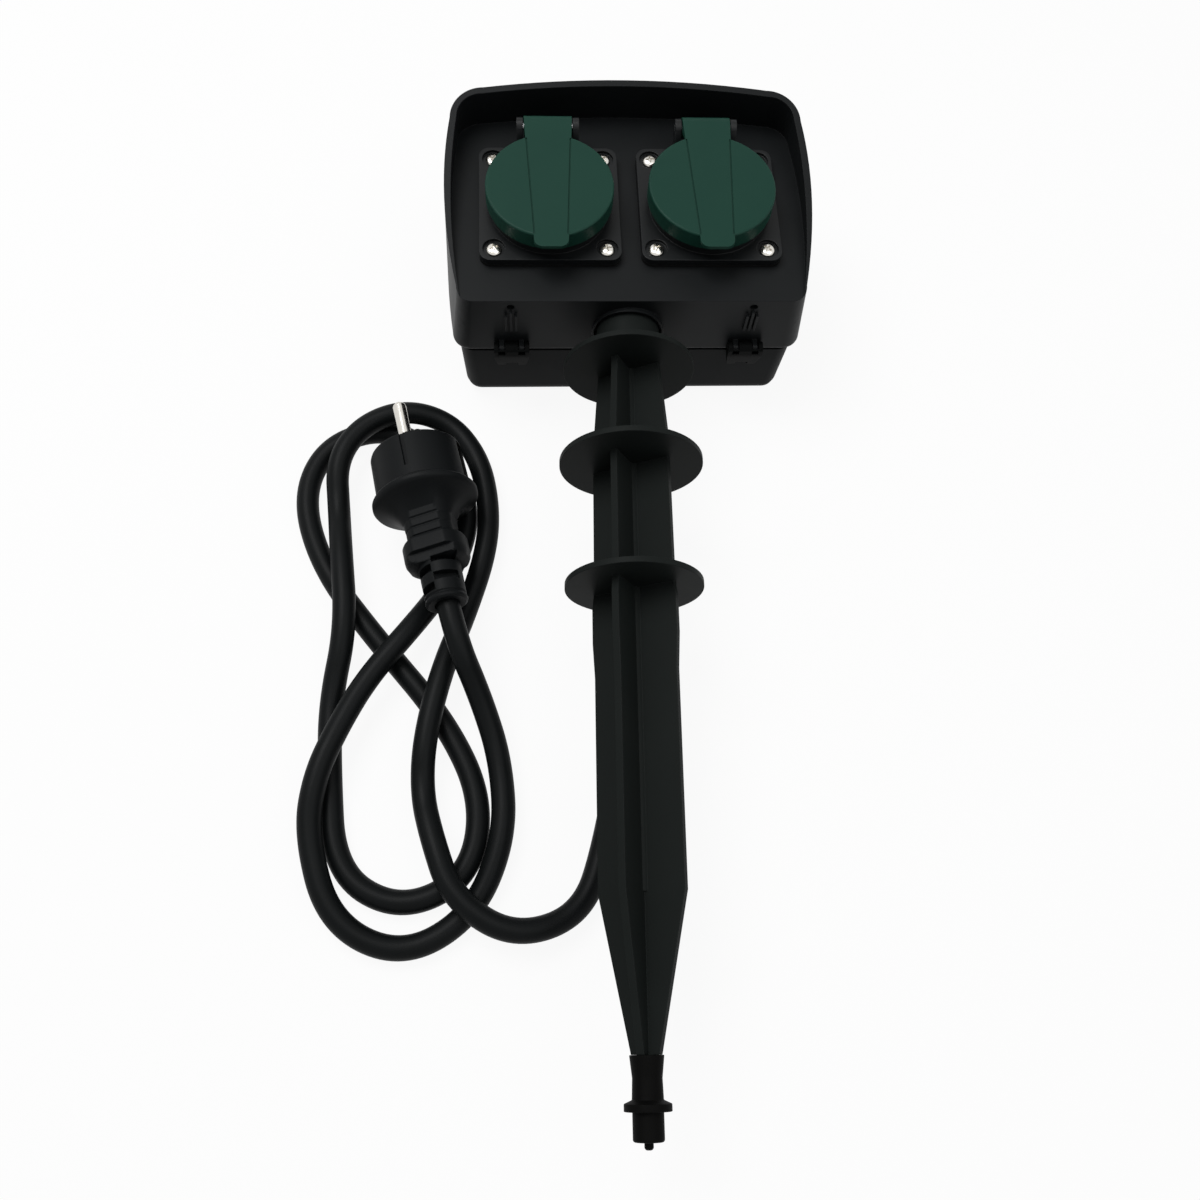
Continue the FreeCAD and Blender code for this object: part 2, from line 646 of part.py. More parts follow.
def latch(side):
    """A snap latch: a barrel on its pin, under a plate that tapers to a forked end over the cover's nub."""
    x = side * LATCH_X
    y = up(LATCH_PIVOT_HEIGHT)
    inner_y = y + LATCH_RADIUS
    outer_y = y - LATCH_EYE_RADIUS - LATCH_GAP - LATCH_SKIN
    middle_z = LATCH_PIVOT_Z - 2.4
    start_x = x - LATCH_HALF_WIDTH
    barrel = rod(LATCH_RADIUS, Vector(start_x, y, LATCH_PIVOT_Z), RIGHT, 2 * LATCH_HALF_WIDTH)
    side_view = [
        (inner_y, LATCH_PIVOT_Z), (inner_y, LATCH_END_Z), (inner_y - LATCH_THICKNESS + 0.5, LATCH_END_Z),
        (inner_y - LATCH_THICKNESS, LATCH_END_Z + 0.5), (outer_y, middle_z), (outer_y, LATCH_PIVOT_Z + 0.9),
        (outer_y + 0.8, LATCH_PIVOT_Z + 1.6), (y - 1.0, LATCH_PIVOT_Z + 1.6),
    ]
    plate = prism([Vector(start_x, py, pz) for py, pz in side_view], RIGHT * 2 * LATCH_HALF_WIDTH)
    end = LATCH_TONGUE_HALF_WIDTH
    half_front = [
        (LATCH_HALF_WIDTH, LATCH_PIVOT_Z + 3), (LATCH_HALF_WIDTH, middle_z), (end, LATCH_END_Z + 1.8),
        (end - 0.5, LATCH_END_Z + 0.6), (end - 1.6, LATCH_END_Z),
    ]
    front_view = half_front + [(-px, pz) for px, pz in reversed(half_front)]
    front = prism([Vector(x + px, inner_y + 1, pz) for px, pz in front_view], UP * -12)
    slots = []
    for step in (-1, 1):
        x0 = x + step * LATCH_EAR_OFFSET
        slots.append(box(x0 - 1.25, x0 + 1.25, y - LATCH_EYE_RADIUS - LATCH_GAP, y + 9,
                         LATCH_PIVOT_Z - LATCH_EYE_RADIUS - LATCH_GAP, LATCH_PIVOT_Z + 9))
        slots.append(box(x0 - 1.25, x0 + 1.25, y - 9, y, LATCH_PIVOT_Z - 0.9, LATCH_PIVOT_Z + 0.9))
    fork_half = NUB_HALF_WIDTH + LATCH_GAP
    slots.append(box(x - fork_half, x + fork_half, y - 9, y + 9, LATCH_END_Z - 1, NUB_TOP_Z + 0.4))
    slots.append(rod(LATCH_PIN_RADIUS + RUNNING_GAP, Vector(x - 10, y, LATCH_PIVOT_Z), RIGHT, 20))
    return cut(fuse([barrel, plate.common(front)]), slots)


def latch_pin(side):
    """The steel pin of a latch."""
    start = Vector(side * LATCH_X - LATCH_HALF_WIDTH, up(LATCH_PIVOT_HEIGHT), LATCH_PIVOT_Z)
    return rod(LATCH_PIN_RADIUS, start, RIGHT, 2 * LATCH_HALF_WIDTH)


def socket_flange(side):
    """A flush socket: square flange, round collar and well, and the ears of its lid."""
    x = side * SOCKET_X
    y = up(FLANGE_HEIGHT)
    half = FLANGE_SIZE / 2
    plate = slab(x, y, half, half, FLANGE_CORNER, FLANGE_BACK_Z, FLANGE_TOP_Z)
    collar = rod(WELL_RADIUS + WELL_WALL, Vector(x, WELL_Y, FLANGE_BACK_Z), FRONT, COLLAR_TOP_Z - FLANGE_BACK_Z)
    barrel = rod(BARREL_RADIUS, Vector(x, WELL_Y, BARREL_END_Z), FRONT, FLANGE_BACK_Z + 1 - BARREL_END_Z)
    ears = []
    for step in (-1, 1):
        x0 = x + step * (LID_BAND_HALF_WIDTH + EAR_GAP + EAR_THICKNESS / 2) - EAR_THICKNESS / 2
        hinge = Vector(x0, up(LID_HINGE_HEIGHT), LID_HINGE_Z)
        eye = rod(EAR_RADIUS, hinge, RIGHT, EAR_THICKNESS)
        foot = up(FLANGE_HEIGHT) + half
        arm = prism(
            [
                Vector(x0, foot - 6, FLANGE_TOP_Z - 1),
                Vector(x0, foot, FLANGE_TOP_Z - 1),
                Vector(x0, hinge.y + 2.3, hinge.z - 2.2),
                Vector(x0, hinge.y - 2.3, hinge.z + 2.2),
            ],
            RIGHT * EAR_THICKNESS,
        )
        ears.append(fuse([eye, arm]))
    well = rod(WELL_RADIUS, Vector(x, WELL_Y, WELL_FLOOR_Z), FRONT, WELL_DEPTH + 1)
    tools = [well, rod(LID_PIN_RADIUS + RUNNING_GAP, Vector(x - 20, up(LID_HINGE_HEIGHT), LID_HINGE_Z), RIGHT, 40)]
    for sx, sy in screw_places(x, y, SCREW_PITCH):
        tools.append(rod(SCREW_SHANK_RADIUS + RUNNING_GAP, Vector(sx, sy, FACE_Z - 5), FRONT, 20))
        tools.append(rod(SCREW_RECESS_RADIUS, Vector(sx, sy, FLANGE_TOP_Z - SCREW_RECESS_DEPTH), FRONT, 5))
    for step in (-1, 1):
        tools.append(rod(PIN_HOLE_RADIUS, Vector(x + step * PIN_SPACING / 2, WELL_Y, BARREL_END_Z - 1), FRONT, 9))
        tools.append(earth_strip(x, step, RUNNING_GAP))
    return cut(fuse([plate, collar, barrel] + ears), tools)


def earth_strip(x, step, gap):
    """An earth contact strip in the top or bottom of a well, grown by a gap to cut its slot."""
    half = EARTH_CLIP_WIDTH / 2 + gap
    inner = WELL_Y + step * (WELL_RADIUS + 0.05 - gap)
    outer = WELL_Y + step * (WELL_RADIUS + 0.05 + EARTH_CLIP_THICKNESS + gap)
    y0, y1 = sorted((inner, outer))
    return box(x - half, x + half, y0, y1, BARREL_END_Z - 2 - gap, COLLAR_TOP_Z - 3 + gap)


def earth_clips(side):
    """The two earth contact strips of a socket."""
    return Part.makeCompound([earth_strip(side * SOCKET_X, step, 0.0) for step in (-1, 1)])


def flange_gasket(side):
    """The square rubber gasket under a flange."""
    x = side * SOCKET_X
    y = up(FLANGE_HEIGHT)
    half = FLANGE_SIZE / 2
    sheet = slab(x, y, half, half, FLANGE_CORNER, FACE_Z, FLANGE_BACK_Z)
    tools = [rod(BARREL_RADIUS + PANEL_GAP, Vector(x, WELL_Y, FACE_Z - 1), FRONT, 5)]
    tools += [
        rod(SCREW_SHANK_RADIUS + RUNNING_GAP, Vector(sx, sy, FACE_Z - 1), FRONT, 5)
        for sx, sy in screw_places(x, y, SCREW_PITCH)
    ]
    return cut(sheet, tools)


def flange_screws(side):
    """Four cross-head screws that hold a flange and its gasket."""
    seat_z = FLANGE_TOP_Z - SCREW_RECESS_DEPTH
    screws = []
    for x, y in screw_places(side * SOCKET_X, up(FLANGE_HEIGHT), SCREW_PITCH):
        dome = rod(SCREW_HEAD_RADIUS, Vector(x, y, seat_z), FRONT, 1.5)
        dome = dome.makeFillet(0.7, [e for e in dome.Edges if e.Vertexes[0].Z > seat_z + 1 and e.Closed])
        shank = rod(SCREW_SHANK_RADIUS, Vector(x, y, SCREW_END_Z), FRONT, seat_z - SCREW_END_Z + 0.5)
        cross = [
            box(x - 1.6, x + 1.6, y - 0.35, y + 0.35, seat_z + 0.7, seat_z + 3),
            box(x - 0.35, x + 0.35, y - 1.6, y + 1.6, seat_z + 0.7, seat_z + 3),
        ]
        screws.append(cut(fuse([dome, shank]), cross))
    return Part.makeCompound(screws)


def contact_carrier(side):
    """The insulating block behind a well that holds the contacts."""
    x = side * SOCKET_X
    block = rod(CARRIER_RADIUS, Vector(x, WELL_Y, CARRIER_BACK_Z), FRONT, BARREL_END_Z - CARRIER_BACK_Z)
    tools = [
        rod(CONTACT_RADIUS + RUNNING_GAP, Vector(x + step * PIN_SPACING / 2, WELL_Y, BARREL_END_Z - CONTACT_LENGTH), FRONT, 20)
        for step in (-1, 1)
    ]
    return cut(block, tools)


def pin_contacts(side):
    """The two brass sleeves that take a plug's pins."""
    x = side * SOCKET_X
    base = BARREL_END_Z - CONTACT_LENGTH
    sleeves = []
    for step in (-1, 1):
        start = Vector(x + step * PIN_SPACING / 2, WELL_Y, base)
        body = rod(CONTACT_RADIUS, start, FRONT, CONTACT_LENGTH - 0.2)
        sleeves.append(body.cut(rod(CONTACT_BORE_RADIUS, start + FRONT * 1.2, FRONT, CONTACT_LENGTH)))
    return Part.makeCompound(sleeves)


def lid(side):
    """A green flap lid: disc, skirt, tapering band, lift tab and hinge barrel."""
    x = side * SOCKET_X
    plate_z = LID_TOP_Z - LID_PLATE
    disc = rod(LID_RADIUS, Vector(x, WELL_Y, plate_z), FRONT, LID_PLATE)
    disc = disc.makeFillet(0.7, [e for e in disc.Edges if e.Closed and e.Vertexes[0].Z > plate_z + 1])
    skirt = tube(LID_RADIUS, LID_RADIUS - LID_SKIRT_WALL, Vector(x, WELL_Y, LID_TOP_Z - LID_SKIRT_DEPTH), FRONT,
                 LID_SKIRT_DEPTH - LID_PLATE + 0.4)
    hinge_y = up(LID_HINGE_HEIGHT)
    tab_y = WELL_Y - LID_RADIUS - LID_TAB_LENGTH
    tab = prism(
        [
            Vector(x - LID_BAND_HALF_WIDTH, hinge_y, plate_z),
            Vector(x + LID_BAND_HALF_WIDTH, hinge_y, plate_z),
            Vector(x + LID_TAB_HALF_WIDTH, tab_y, plate_z),
            Vector(x - LID_TAB_HALF_WIDTH, tab_y, plate_z),
        ],
        FRONT * LID_PLATE,
    )
    corners = [
        e for e in tab.Edges
        if abs(e.Vertexes[0].Z - e.Vertexes[1].Z) > 1 and e.Vertexes[0].Y < tab_y + 0.1
    ]
    tab = tab.makeFillet(LID_TAB_CORNER, corners)
    barrel_start = Vector(x - LID_BAND_HALF_WIDTH, hinge_y, LID_HINGE_Z)
    barrel = rod(LID_BARREL_RADIUS, barrel_start, RIGHT, 2 * LID_BAND_HALF_WIDTH)
    tools = [
        rod(LID_PIN_RADIUS + RUNNING_GAP, Vector(x - 20, hinge_y, LID_HINGE_Z), RIGHT, 40),
        rod(SPRING_RADIUS + 0.3, Vector(x - SPRING_LENGTH / 2 - 0.3, hinge_y, LID_HINGE_Z), RIGHT, SPRING_LENGTH + 0.6),
        box(x - SPRING_LENGTH / 2 - 0.3, x + SPRING_LENGTH / 2 + 0.3, hinge_y - 9, hinge_y + 9,
            LID_HINGE_Z - 9, LID_HINGE_Z - 1),
        box(x - LID_RADIUS, x + LID_RADIUS, WELL_Y + LID_SKIRT_BREAK, hinge_y - LID_BARREL_RADIUS - 0.6,
            LID_TOP_Z - 9, plate_z - 0.9),
        box(x - LID_BAND_HALF_WIDTH, x + LID_BAND_HALF_WIDTH, tab_y - 1, WELL_Y, plate_z - 1, LID_TOP_Z - LID_TAB_THICKNESS).cut(
            rod(LID_RADIUS, Vector(x, WELL_Y, 0), FRONT, 100)
        ),
    ]
    length = hinge_y - tab_y
    taper = math.degrees(math.atan2(LID_BAND_HALF_WIDTH - LID_TAB_HALF_WIDTH, length))
    for step in (-1, 1):
        line = box(-LID_GROOVE / 2, LID_GROOVE / 2, -length, -4, LID_TOP_Z - 0.5, LID_TOP_Z + 1)
        line.rotate(Vector(0, 0, 0), FRONT, -step * taper)
        line.translate(Vector(x + step * (LID_BAND_HALF_WIDTH - 0.3), hinge_y, 0))
        tools.append(line.common(rod(LID_RADIUS - 0.4, Vector(x, WELL_Y, 0), FRONT, 100)))
    return cut(fuse([disc, skirt, tab, barrel]), tools)


def lid_seal(side):
    """The flat rubber ring inside a lid that rests on the collar."""
    start = Vector(side * SOCKET_X, WELL_Y, COLLAR_TOP_Z + SEAL_GAP)
    return tube(LID_RADIUS - LID_SKIRT_WALL - SEAL_GAP, SEAL_INNER_RADIUS, start, FRONT, SEAL_THICKNESS)


def lid_pin(side):
    """The steel hinge pin of a lid."""
    reach = LID_BAND_HALF_WIDTH + EAR_GAP + EAR_THICKNESS
    start = Vector(side * SOCKET_X - reach, up(LID_HINGE_HEIGHT), LID_HINGE_Z)
    return rod(LID_PIN_RADIUS, start, RIGHT, 2 * reach)


def lid_spring(side):
    """The closing spring of a lid, as the closed sleeve that its turns fill."""
    start = Vector(side * SOCKET_X - SPRING_LENGTH / 2, up(LID_HINGE_HEIGHT), LID_HINGE_Z)
    return tube(SPRING_RADIUS, LID_PIN_RADIUS + RUNNING_GAP, start, RIGHT, SPRING_LENGTH)


def partition_panel():
    """The panel between the socket space and the timer space."""
    outline = housing_outline(PARTING_Z).inset(WALL + PANEL_GAP)
    plate = loft([(outline, PARTING_Z), (outline, PANEL_FRONT_Z)])
    notch_half = BOSS_RADIUS + 0.8
    tools = [box(SPIKE_X - notch_half, SPIKE_X + notch_half, up(-5), up(BOSS_DEPTH + CLIP_THICKNESS + 3), PARTING_Z - 1, PANEL_FRONT_Z + 1)]
    for x, height in PANEL_SCREWS:
        tools.append(rod(PANEL_SCREW_RADIUS + RUNNING_GAP, Vector(x, up(height), PARTING_Z - 1), FRONT, 5))
    for x, height in timer_screw_places():
        tools.append(rod(PANEL_SCREW_RADIUS + RUNNING_GAP, Vector(x, up(height), PARTING_Z - 1), FRONT, 5))
    tools.append(slab(WIRE_HOLE_X, up(WIRE_HEIGHT), 6.0, 2.2, 1.5, PARTING_Z - 1, PANEL_FRONT_Z + 1))
    return cut(plate, tools)


def screw_from_back(x, height, head_z, length):
    """A pan-head screw driven towards the front, its head behind head_z."""
    y = up(height)
    back_z = head_z - SCREW_HEAD_DEPTH
    head = rod(PANEL_SCREW_HEAD, Vector(x, y, back_z), FRONT, SCREW_HEAD_DEPTH)
    half = SCREW_SLOT_WIDTH / 2
    reach = 0.8 * PANEL_SCREW_HEAD
    slot = box(x - reach, x + reach, y - half, y + half, back_z - SCREW_SLOT_DEPTH, back_z + SCREW_SLOT_DEPTH)
    shank = rod(PANEL_SCREW_RADIUS, Vector(x, y, back_z + SCREW_HEAD_DEPTH / 2), FRONT, length + SCREW_HEAD_DEPTH / 2)
    return fuse([head, shank]).cut(slot)


def panel_screws():
    """The screws that hold the partition panel."""
    return Part.makeCompound([screw_from_back(x, h, PARTING_Z, PANEL_SCREW_LENGTH) for x, h in PANEL_SCREWS])


def timer_screw_places():
    """The fixing lugs of the timer case, left and right."""
    return [(side * (TIMER_HALF_WIDTH + 4.0), TIMER_HEIGHT) for side in (-1, 1)]


def timer_case():
    """The timer's case: an open shell against the panel, with the dial's spigot and two lugs."""
    y = up(TIMER_HEIGHT)
    top_z = PARTING_Z - 0.2
    shell = slab(0, y, TIMER_HALF_WIDTH, TIMER_HALF_HEIGHT, 4.0, TIMER_FRONT_Z, top_z)
    inside = slab(0, y, TIMER_HALF_WIDTH - TIMER_WALL, TIMER_HALF_HEIGHT - TIMER_WALL, 3.0,
                  TIMER_FRONT_Z + TIMER_WALL, top_z + 1)
    shell = shell.cut(inside)
    lugs = [slab(x, up(h), 5.0, 5.0, 2.0, top_z - 3, top_z) for x, h in timer_screw_places()]
    lugs = [lug.cut(inside) for lug in lugs]
    spigot = rod(DIAL_HUB_RADIUS, Vector(0, y, DIAL_BACK_Z), FRONT, TIMER_FRONT_Z + 1 - DIAL_BACK_Z)
    pointer = prism(
        [Vector(-2, y + 22.8, TIMER_FRONT_Z - 0.6), Vector(2, y + 22.8, TIMER_FRONT_Z - 0.6), Vector(0, y + 19, TIMER_FRONT_Z - 0.6)],
        FRONT,
    )
    tools = [rod(PANEL_SCREW_RADIUS + RUNNING_GAP, Vector(x, up(h), top_z - 5), FRONT, 10) for x, h in timer_screw_places()]
    tools.append(rod(PANEL_SCREW_RADIUS + RUNNING_GAP, Vector(0, y, DIAL_BACK_Z - 1), FRONT, 7))
    half = SWITCH_SLOT_WIDTH / 2 + 0.2
    tools.append(box(SWITCH_X - half, SWITCH_X + half, y - 4.2, y + 4.2 + SWITCH_TRAVEL, TIMER_FRONT_Z - 1, TIMER_FRONT_Z + 3))
    return cut(fuse([shell, spigot] + lugs), tools)


def timer_dial():
    """The 24-hour dial that turns on the case's spigot, with the floor its tappets stand on."""
    y = up(TIMER_HEIGHT)
    top_z = TIMER_FRONT_Z - 0.4
    disc = rod(DIAL_RADIUS - TAPPET_DEPTH - 0.6, Vector(0, y, DIAL_BACK_Z), FRONT, top_z - DIAL_BACK_Z)
    floor = rod(DIAL_RADIUS, Vector(0, y, top_z - 0.9), FRONT, 0.9)
    knob = rod(12.0, Vector(0, y, DIAL_BACK_Z - 1.2), FRONT, 2.0)
    bore = rod(DIAL_HUB_RADIUS + RUNNING_GAP, Vector(0, y, 0), FRONT, 30)
    head_room = rod(7.4, Vector(0, y, 0), FRONT, DIAL_BACK_Z + 0.2)
    return cut(fuse([disc, floor, knob]), [bore, head_room])


def timer_tappets():
    """The ring of switching tappets round the dial."""
    y = up(TIMER_HEIGHT)
    inner = DIAL_RADIUS - TAPPET_DEPTH - 0.2
    top_z = TIMER_FRONT_Z - 1.3
    tappet = box(inner, inner + TAPPET_DEPTH, -TAPPET_WIDTH / 2, TAPPET_WIDTH / 2, top_z - TAPPET_LENGTH, top_z)
    ring = []
    for i in range(TAPPET_COUNT):
        one = tappet.copy()
        one.rotate(Vector(0, 0, 0), FRONT, 360.0 * i / TAPPET_COUNT)
        one.translate(Vector(0, y, 0))
        ring.append(one)
    return Part.makeCompound(ring)


def dial_screw():
    """The screw that keeps the dial on its spigot."""
    y = up(TIMER_HEIGHT)
    head = rod(7.0, Vector(0, y, DIAL_BACK_Z - 1.6), FRONT, 1.5)
    shank = rod(PANEL_SCREW_RADIUS, Vector(0, y, DIAL_BACK_Z - 0.3), FRONT, 6)
    slot = box(-5, 5, y - 0.5, y + 0.5, DIAL_BACK_Z - 3, DIAL_BACK_Z - 1.0)
    return fuse([head, shank]).cut(slot)


def override_switch():
    """The slider that overrides the timer, in a slot of its case."""
    y = up(TIMER_HEIGHT)
    half = SWITCH_SLOT_WIDTH / 2
    knob = box(SWITCH_X - 3.0, SWITCH_X + 3.0, y - 3.5, y + 3.5, TIMER_FRONT_Z - 2.4, TIMER_FRONT_Z - 0.2)
    stem = box(SWITCH_X - half, SWITCH_X + half, y - 3.8, y + 3.8, TIMER_FRONT_Z - 1.0, TIMER_FRONT_Z + TIMER_WALL + 0.4)
    foot = box(SWITCH_X - 3.0, SWITCH_X + 3.0, y - 3.8, y + 3.8, TIMER_FRONT_Z + TIMER_WALL + 0.2, TIMER_FRONT_Z + 3.4)
    return fuse([knob, stem, foot])


def timer_motor():
    """The synchronous motor inside the timer case."""
    start = Vector(MOTOR_X, up(TIMER_HEIGHT), TIMER_FRONT_Z + TIMER_WALL)
    return fuse([rod(MOTOR_RADIUS, start, FRONT, MOTOR_LENGTH), rod(2.0, start, FRONT, MOTOR_LENGTH + 1.8)])


def timer_screws():
    """The two screws of the timer case."""
    return Part.makeCompound([screw_from_back(x, h, PARTING_Z - 3.2, TIMER_SCREW_LENGTH) for x, h in timer_screw_places()])


WIRE_HEIGHT = 20.2
WIRE_PITCH = 2.4
WIRE_XS = (-46.0, -43.0, -40.0)
WIRE_HOLE_X = WIRE_XS[1]
TERMINAL_TOP_HEIGHT = 16.8
TERMINAL_BACK_Z = PANEL_FRONT_Z


def terminal_block():
    """The terminal block on the panel, beside the lower left socket."""
    y0 = up(6.0)
    y1 = up(TERMINAL_TOP_HEIGHT)
    block = slab((WIRE_XS[0] + WIRE_XS[-1]) / 2 + 6, (y0 + y1) / 2, 11.5, (y1 - y0) / 2, 1.0,
                 TERMINAL_BACK_Z, TERMINAL_BACK_Z + 11)
    tools = [rod(1.65, Vector(x, (y0 + y1) / 2, TERMINAL_BACK_Z + 7), FRONT, 9) for x in WIRE_XS]
    tools += [rod(WIRE_RADIUS + 0.1, Vector(x, y1 - 4, TERMINAL_BACK_Z + 5), UP, 9) for x in WIRE_XS]
    return cut(block, tools)


def terminal_screws():
    """The clamping screws of the terminal block."""
    y = up((6.0 + TERMINAL_TOP_HEIGHT) / 2)
    screws = []
    for x in WIRE_XS:
        body = rod(1.6, Vector(x, y, TERMINAL_BACK_Z + 7.1), FRONT, 3.5)
        screws.append(body.cut(box(x - 2, x + 2, y - 0.25, y + 0.25, TERMINAL_BACK_Z + 10, TERMINAL_BACK_Z + 12)))
    return Part.makeCompound(screws)


def supply_wires():
    """The three wires from the cord's end through the panel to the terminal block."""
    wires = []
    for i, x in enumerate(WIRE_XS):
        level = GLAND_Z + (i - 1) * WIRE_PITCH
        end_z = TERMINAL_BACK_Z + 5
        points = [
            Vector(GLAND_X, up(SHEATH_END + 0.1), level),
            Vector(GLAND_X, up(WIRE_HEIGHT), level),
            Vector(x, up(WIRE_HEIGHT), level),
            Vector(x, up(WIRE_HEIGHT), end_z),
            Vector(x, up(TERMINAL_TOP_HEIGHT - 3.5), end_z),
        ]
        wires.append(round_bar(points, WIRE_RADIUS)[0])
    return Part.makeCompound(wires)


def link_wires():
    """The wires behind the carriers from one socket to the other."""
    z = CARRIER_BACK_Z - WIRE_RADIUS - 0.1
    reach = SOCKET_X - LINK_WIRE_INSET
    return Part.makeCompound([
        rod(WIRE_RADIUS, Vector(-reach, WELL_Y + step * LINK_WIRE_PITCH, z), RIGHT, 2 * reach) for step in (-1, 0, 1)
    ])


def rib_profile():
    """The span of a rib at each depth below the housing's bottom wall."""
    swell = DISC_DEPTHS[2] + RIB_SWELL_START
    inside_cap = math.sqrt((CAP_BORE_RADIUS - CAP_GAP) ** 2 - (RIB_THICKNESS / 2) ** 2)
    return [
        (DISC_DEPTHS[0], RIB_NECK_SPAN),
        (DISC_DEPTHS[1] - 8, RIB_SPAN - 0.3),
        (DISC_DEPTHS[2], RIB_SPAN),
        (swell, RIB_SPAN + RIB_SWELL),
        (swell + 12, RIB_SPAN + RIB_SWELL),
        (swell + 24, RIB_SPAN),
        (RIB_TAPER_DEPTH, RIB_SPAN - 0.1),
        (CAP_MOUTH_DEPTH - CAP_MOUTH_GAP, RIB_TIP_SPAN),
        (CAP_MOUTH_DEPTH - CAP_MOUTH_GAP, inside_cap),
        (CAP_MOUTH_DEPTH + CAP_LENGTH - 7.5, inside_cap),
        (CAP_MOUTH_DEPTH + CAP_LENGTH - 5.5, 1.0),
    ]


def spike():
    """The ground spike in one moulding: neck, three discs and four ribs that taper to the tip."""
    profile = rib_profile()
    base = spike_point(0)
    plates = []
    for across in (RIGHT, FRONT):
        side = [base - UP * depth + across * span for depth, span in profile]
        other = [base - UP * depth - across * span for depth, span in reversed(profile)]
        through = across.cross(UP) * RIB_THICKNESS
        plate = prism(side + other, through)
        plate.translate(through * -0.5)
        plates.append(plate)
    core = rod(2.6, spike_point(RIB_TAPER_DEPTH), UP, RIB_TAPER_DEPTH - DISC_DEPTHS[0])
    discs = [
        rod(radius, spike_point(depth + DISC_THICKNESS / 2), UP, DISC_THICKNESS)
        for depth, radius in zip(DISC_DEPTHS, DISC_RADII)
    ]
    clip_start = BOSS_DEPTH + 0.3
    neck_top = clip_start + CLIP_THICKNESS + 1.4
    neck = rod(NECK_RADIUS, spike_point(DISC_DEPTHS[0]), UP, DISC_DEPTHS[0] + neck_top)
    hollow = rod(NECK_RADIUS - NECK_WALL - CLIP_GROOVE_DEPTH, spike_point(DISC_DEPTHS[0] - 4), UP, 60)
    grooves = [
        tube(NECK_RADIUS + 1, NECK_RADIUS - CLIP_GROOVE_DEPTH, spike_point(-clip_start), UP, CLIP_THICKNESS + 0.1),
        tube(NECK_RADIUS + 1, NECK_RADIUS - 2 * O_RING_RADIUS - 0.05,
             spike_point(-(O_RING_DEPTH - O_RING_RADIUS - 0.1)), UP, 2 * O_RING_RADIUS + 0.2),
    ]
    whole = cut(fuse(plates + [core, neck] + discs), [hollow] + grooves)
    return lean(whole, SPIKE_TURN_DEG)


def spike_o_ring():
    """The O-ring in the neck's groove."""
    ring = Part.makeTorus(NECK_RADIUS - O_RING_RADIUS, O_RING_RADIUS - 0.02, spike_point(-O_RING_DEPTH), UP)
    return lean(ring)


def spike_clip():
    """The open retaining ring in the neck's groove, behind the socket."""
    start = spike_point(-(BOSS_DEPTH + 0.35))
    ring = tube(CLIP_RADIUS, NECK_RADIUS - CLIP_GROOVE_DEPTH + 0.05, start, UP, CLIP_THICKNESS)
    gap = box(SPIKE_X - 3, SPIKE_X + 3, up(0), up(40), SPIKE_Z, SPIKE_Z + 30)
    return lean(ring.cut(gap))


def tip_cap():
    """The soft cap on the spike's tip, with its collar and end nub."""
    start = spike_point(CAP_MOUTH_DEPTH)
    down = UP * -1
    collar = CAP_COLLAR_DEPTH
    half = CAP_COLLAR_THICKNESS / 2
    profile = [
        (0, CAP_BORE_RADIUS), (0, CAP_RADIUS), (6, CAP_WAIST_RADIUS), (collar - half - 1, CAP_WAIST_RADIUS + 0.2),
        (collar - half, CAP_COLLAR_RADIUS), (collar + half, CAP_COLLAR_RADIUS), (collar + half, CAP_WAIST_RADIUS + 0.15),
        (CAP_LENGTH - 0.4, CAP_WAIST_RADIUS + 0.15), (CAP_LENGTH, CAP_WAIST_RADIUS - 0.3),
        (CAP_LENGTH, CAP_NUB_RADIUS), (CAP_LENGTH + CAP_NUB_LENGTH - 0.5, CAP_NUB_RADIUS),
        (CAP_LENGTH + CAP_NUB_LENGTH, CAP_NUB_RADIUS - 0.5), (CAP_LENGTH + CAP_NUB_LENGTH, 0),
        (CAP_LENGTH - 2, 0), (CAP_LENGTH - 5, CAP_BORE_RADIUS),
    ]
    return lean(revolve(profile, start, down, FRONT))


def cord_gland():
    """The rubber strain relief where the cord leaves the housing."""
    start = Vector(GLAND_X, up(7.0), GLAND_Z)
    down = UP * -1
    bore = CORD_RADIUS + RUNNING_GAP
    total = GLAND_LENGTH + 7.0
    profile = [(0, bore), (0, GLAND_FLANGE_RADIUS), (1.6, GLAND_FLANGE_RADIUS), (1.6, GLAND_RADIUS), (10, GLAND_RADIUS)]
    ribs = 5
    pitch = (total - 14) / ribs
    for i in range(ribs):
        along = 12 + i * pitch
        radius = GLAND_RADIUS - 0.6 + (GLAND_END_RADIUS - GLAND_RADIUS + 0.6) * (i / (ribs - 1))
        profile += [(along, radius - 0.7), (along + 0.4 * pitch, radius - 0.7), (along + 0.4 * pitch, radius),
                    (along + 0.95 * pitch, radius)]
    profile += [(total, GLAND_END_RADIUS), (total, bore)]
    return revolve(profile, start, down, FRONT)


def cord_clamp():
    """The bar that clamps the cord against the saddle."""
    half = SADDLE_WIDTH / 2
    bar = box(GLAND_X - half, GLAND_X + half, up(SADDLE_START), up(SADDLE_END), GLAND_Z - CLAMP_THICKNESS, GLAND_Z - 0.1)
    tools = [rod(CORD_RADIUS + RUNNING_GAP, Vector(GLAND_X, up(0), GLAND_Z), UP, 30)]
    tools += [
        rod(PANEL_SCREW_RADIUS + RUNNING_GAP, Vector(x, up(clamp_height()), 0), FRONT, 20) for x in clamp_screw_xs()
    ]
    return cut(bar, tools)


def clamp_screws():
    """The two screws of the cord clamp."""
    seat_z = GLAND_Z - CLAMP_THICKNESS
    return Part.makeCompound([screw_from_back(x, clamp_height(), seat_z, 14) for x in clamp_screw_xs()])


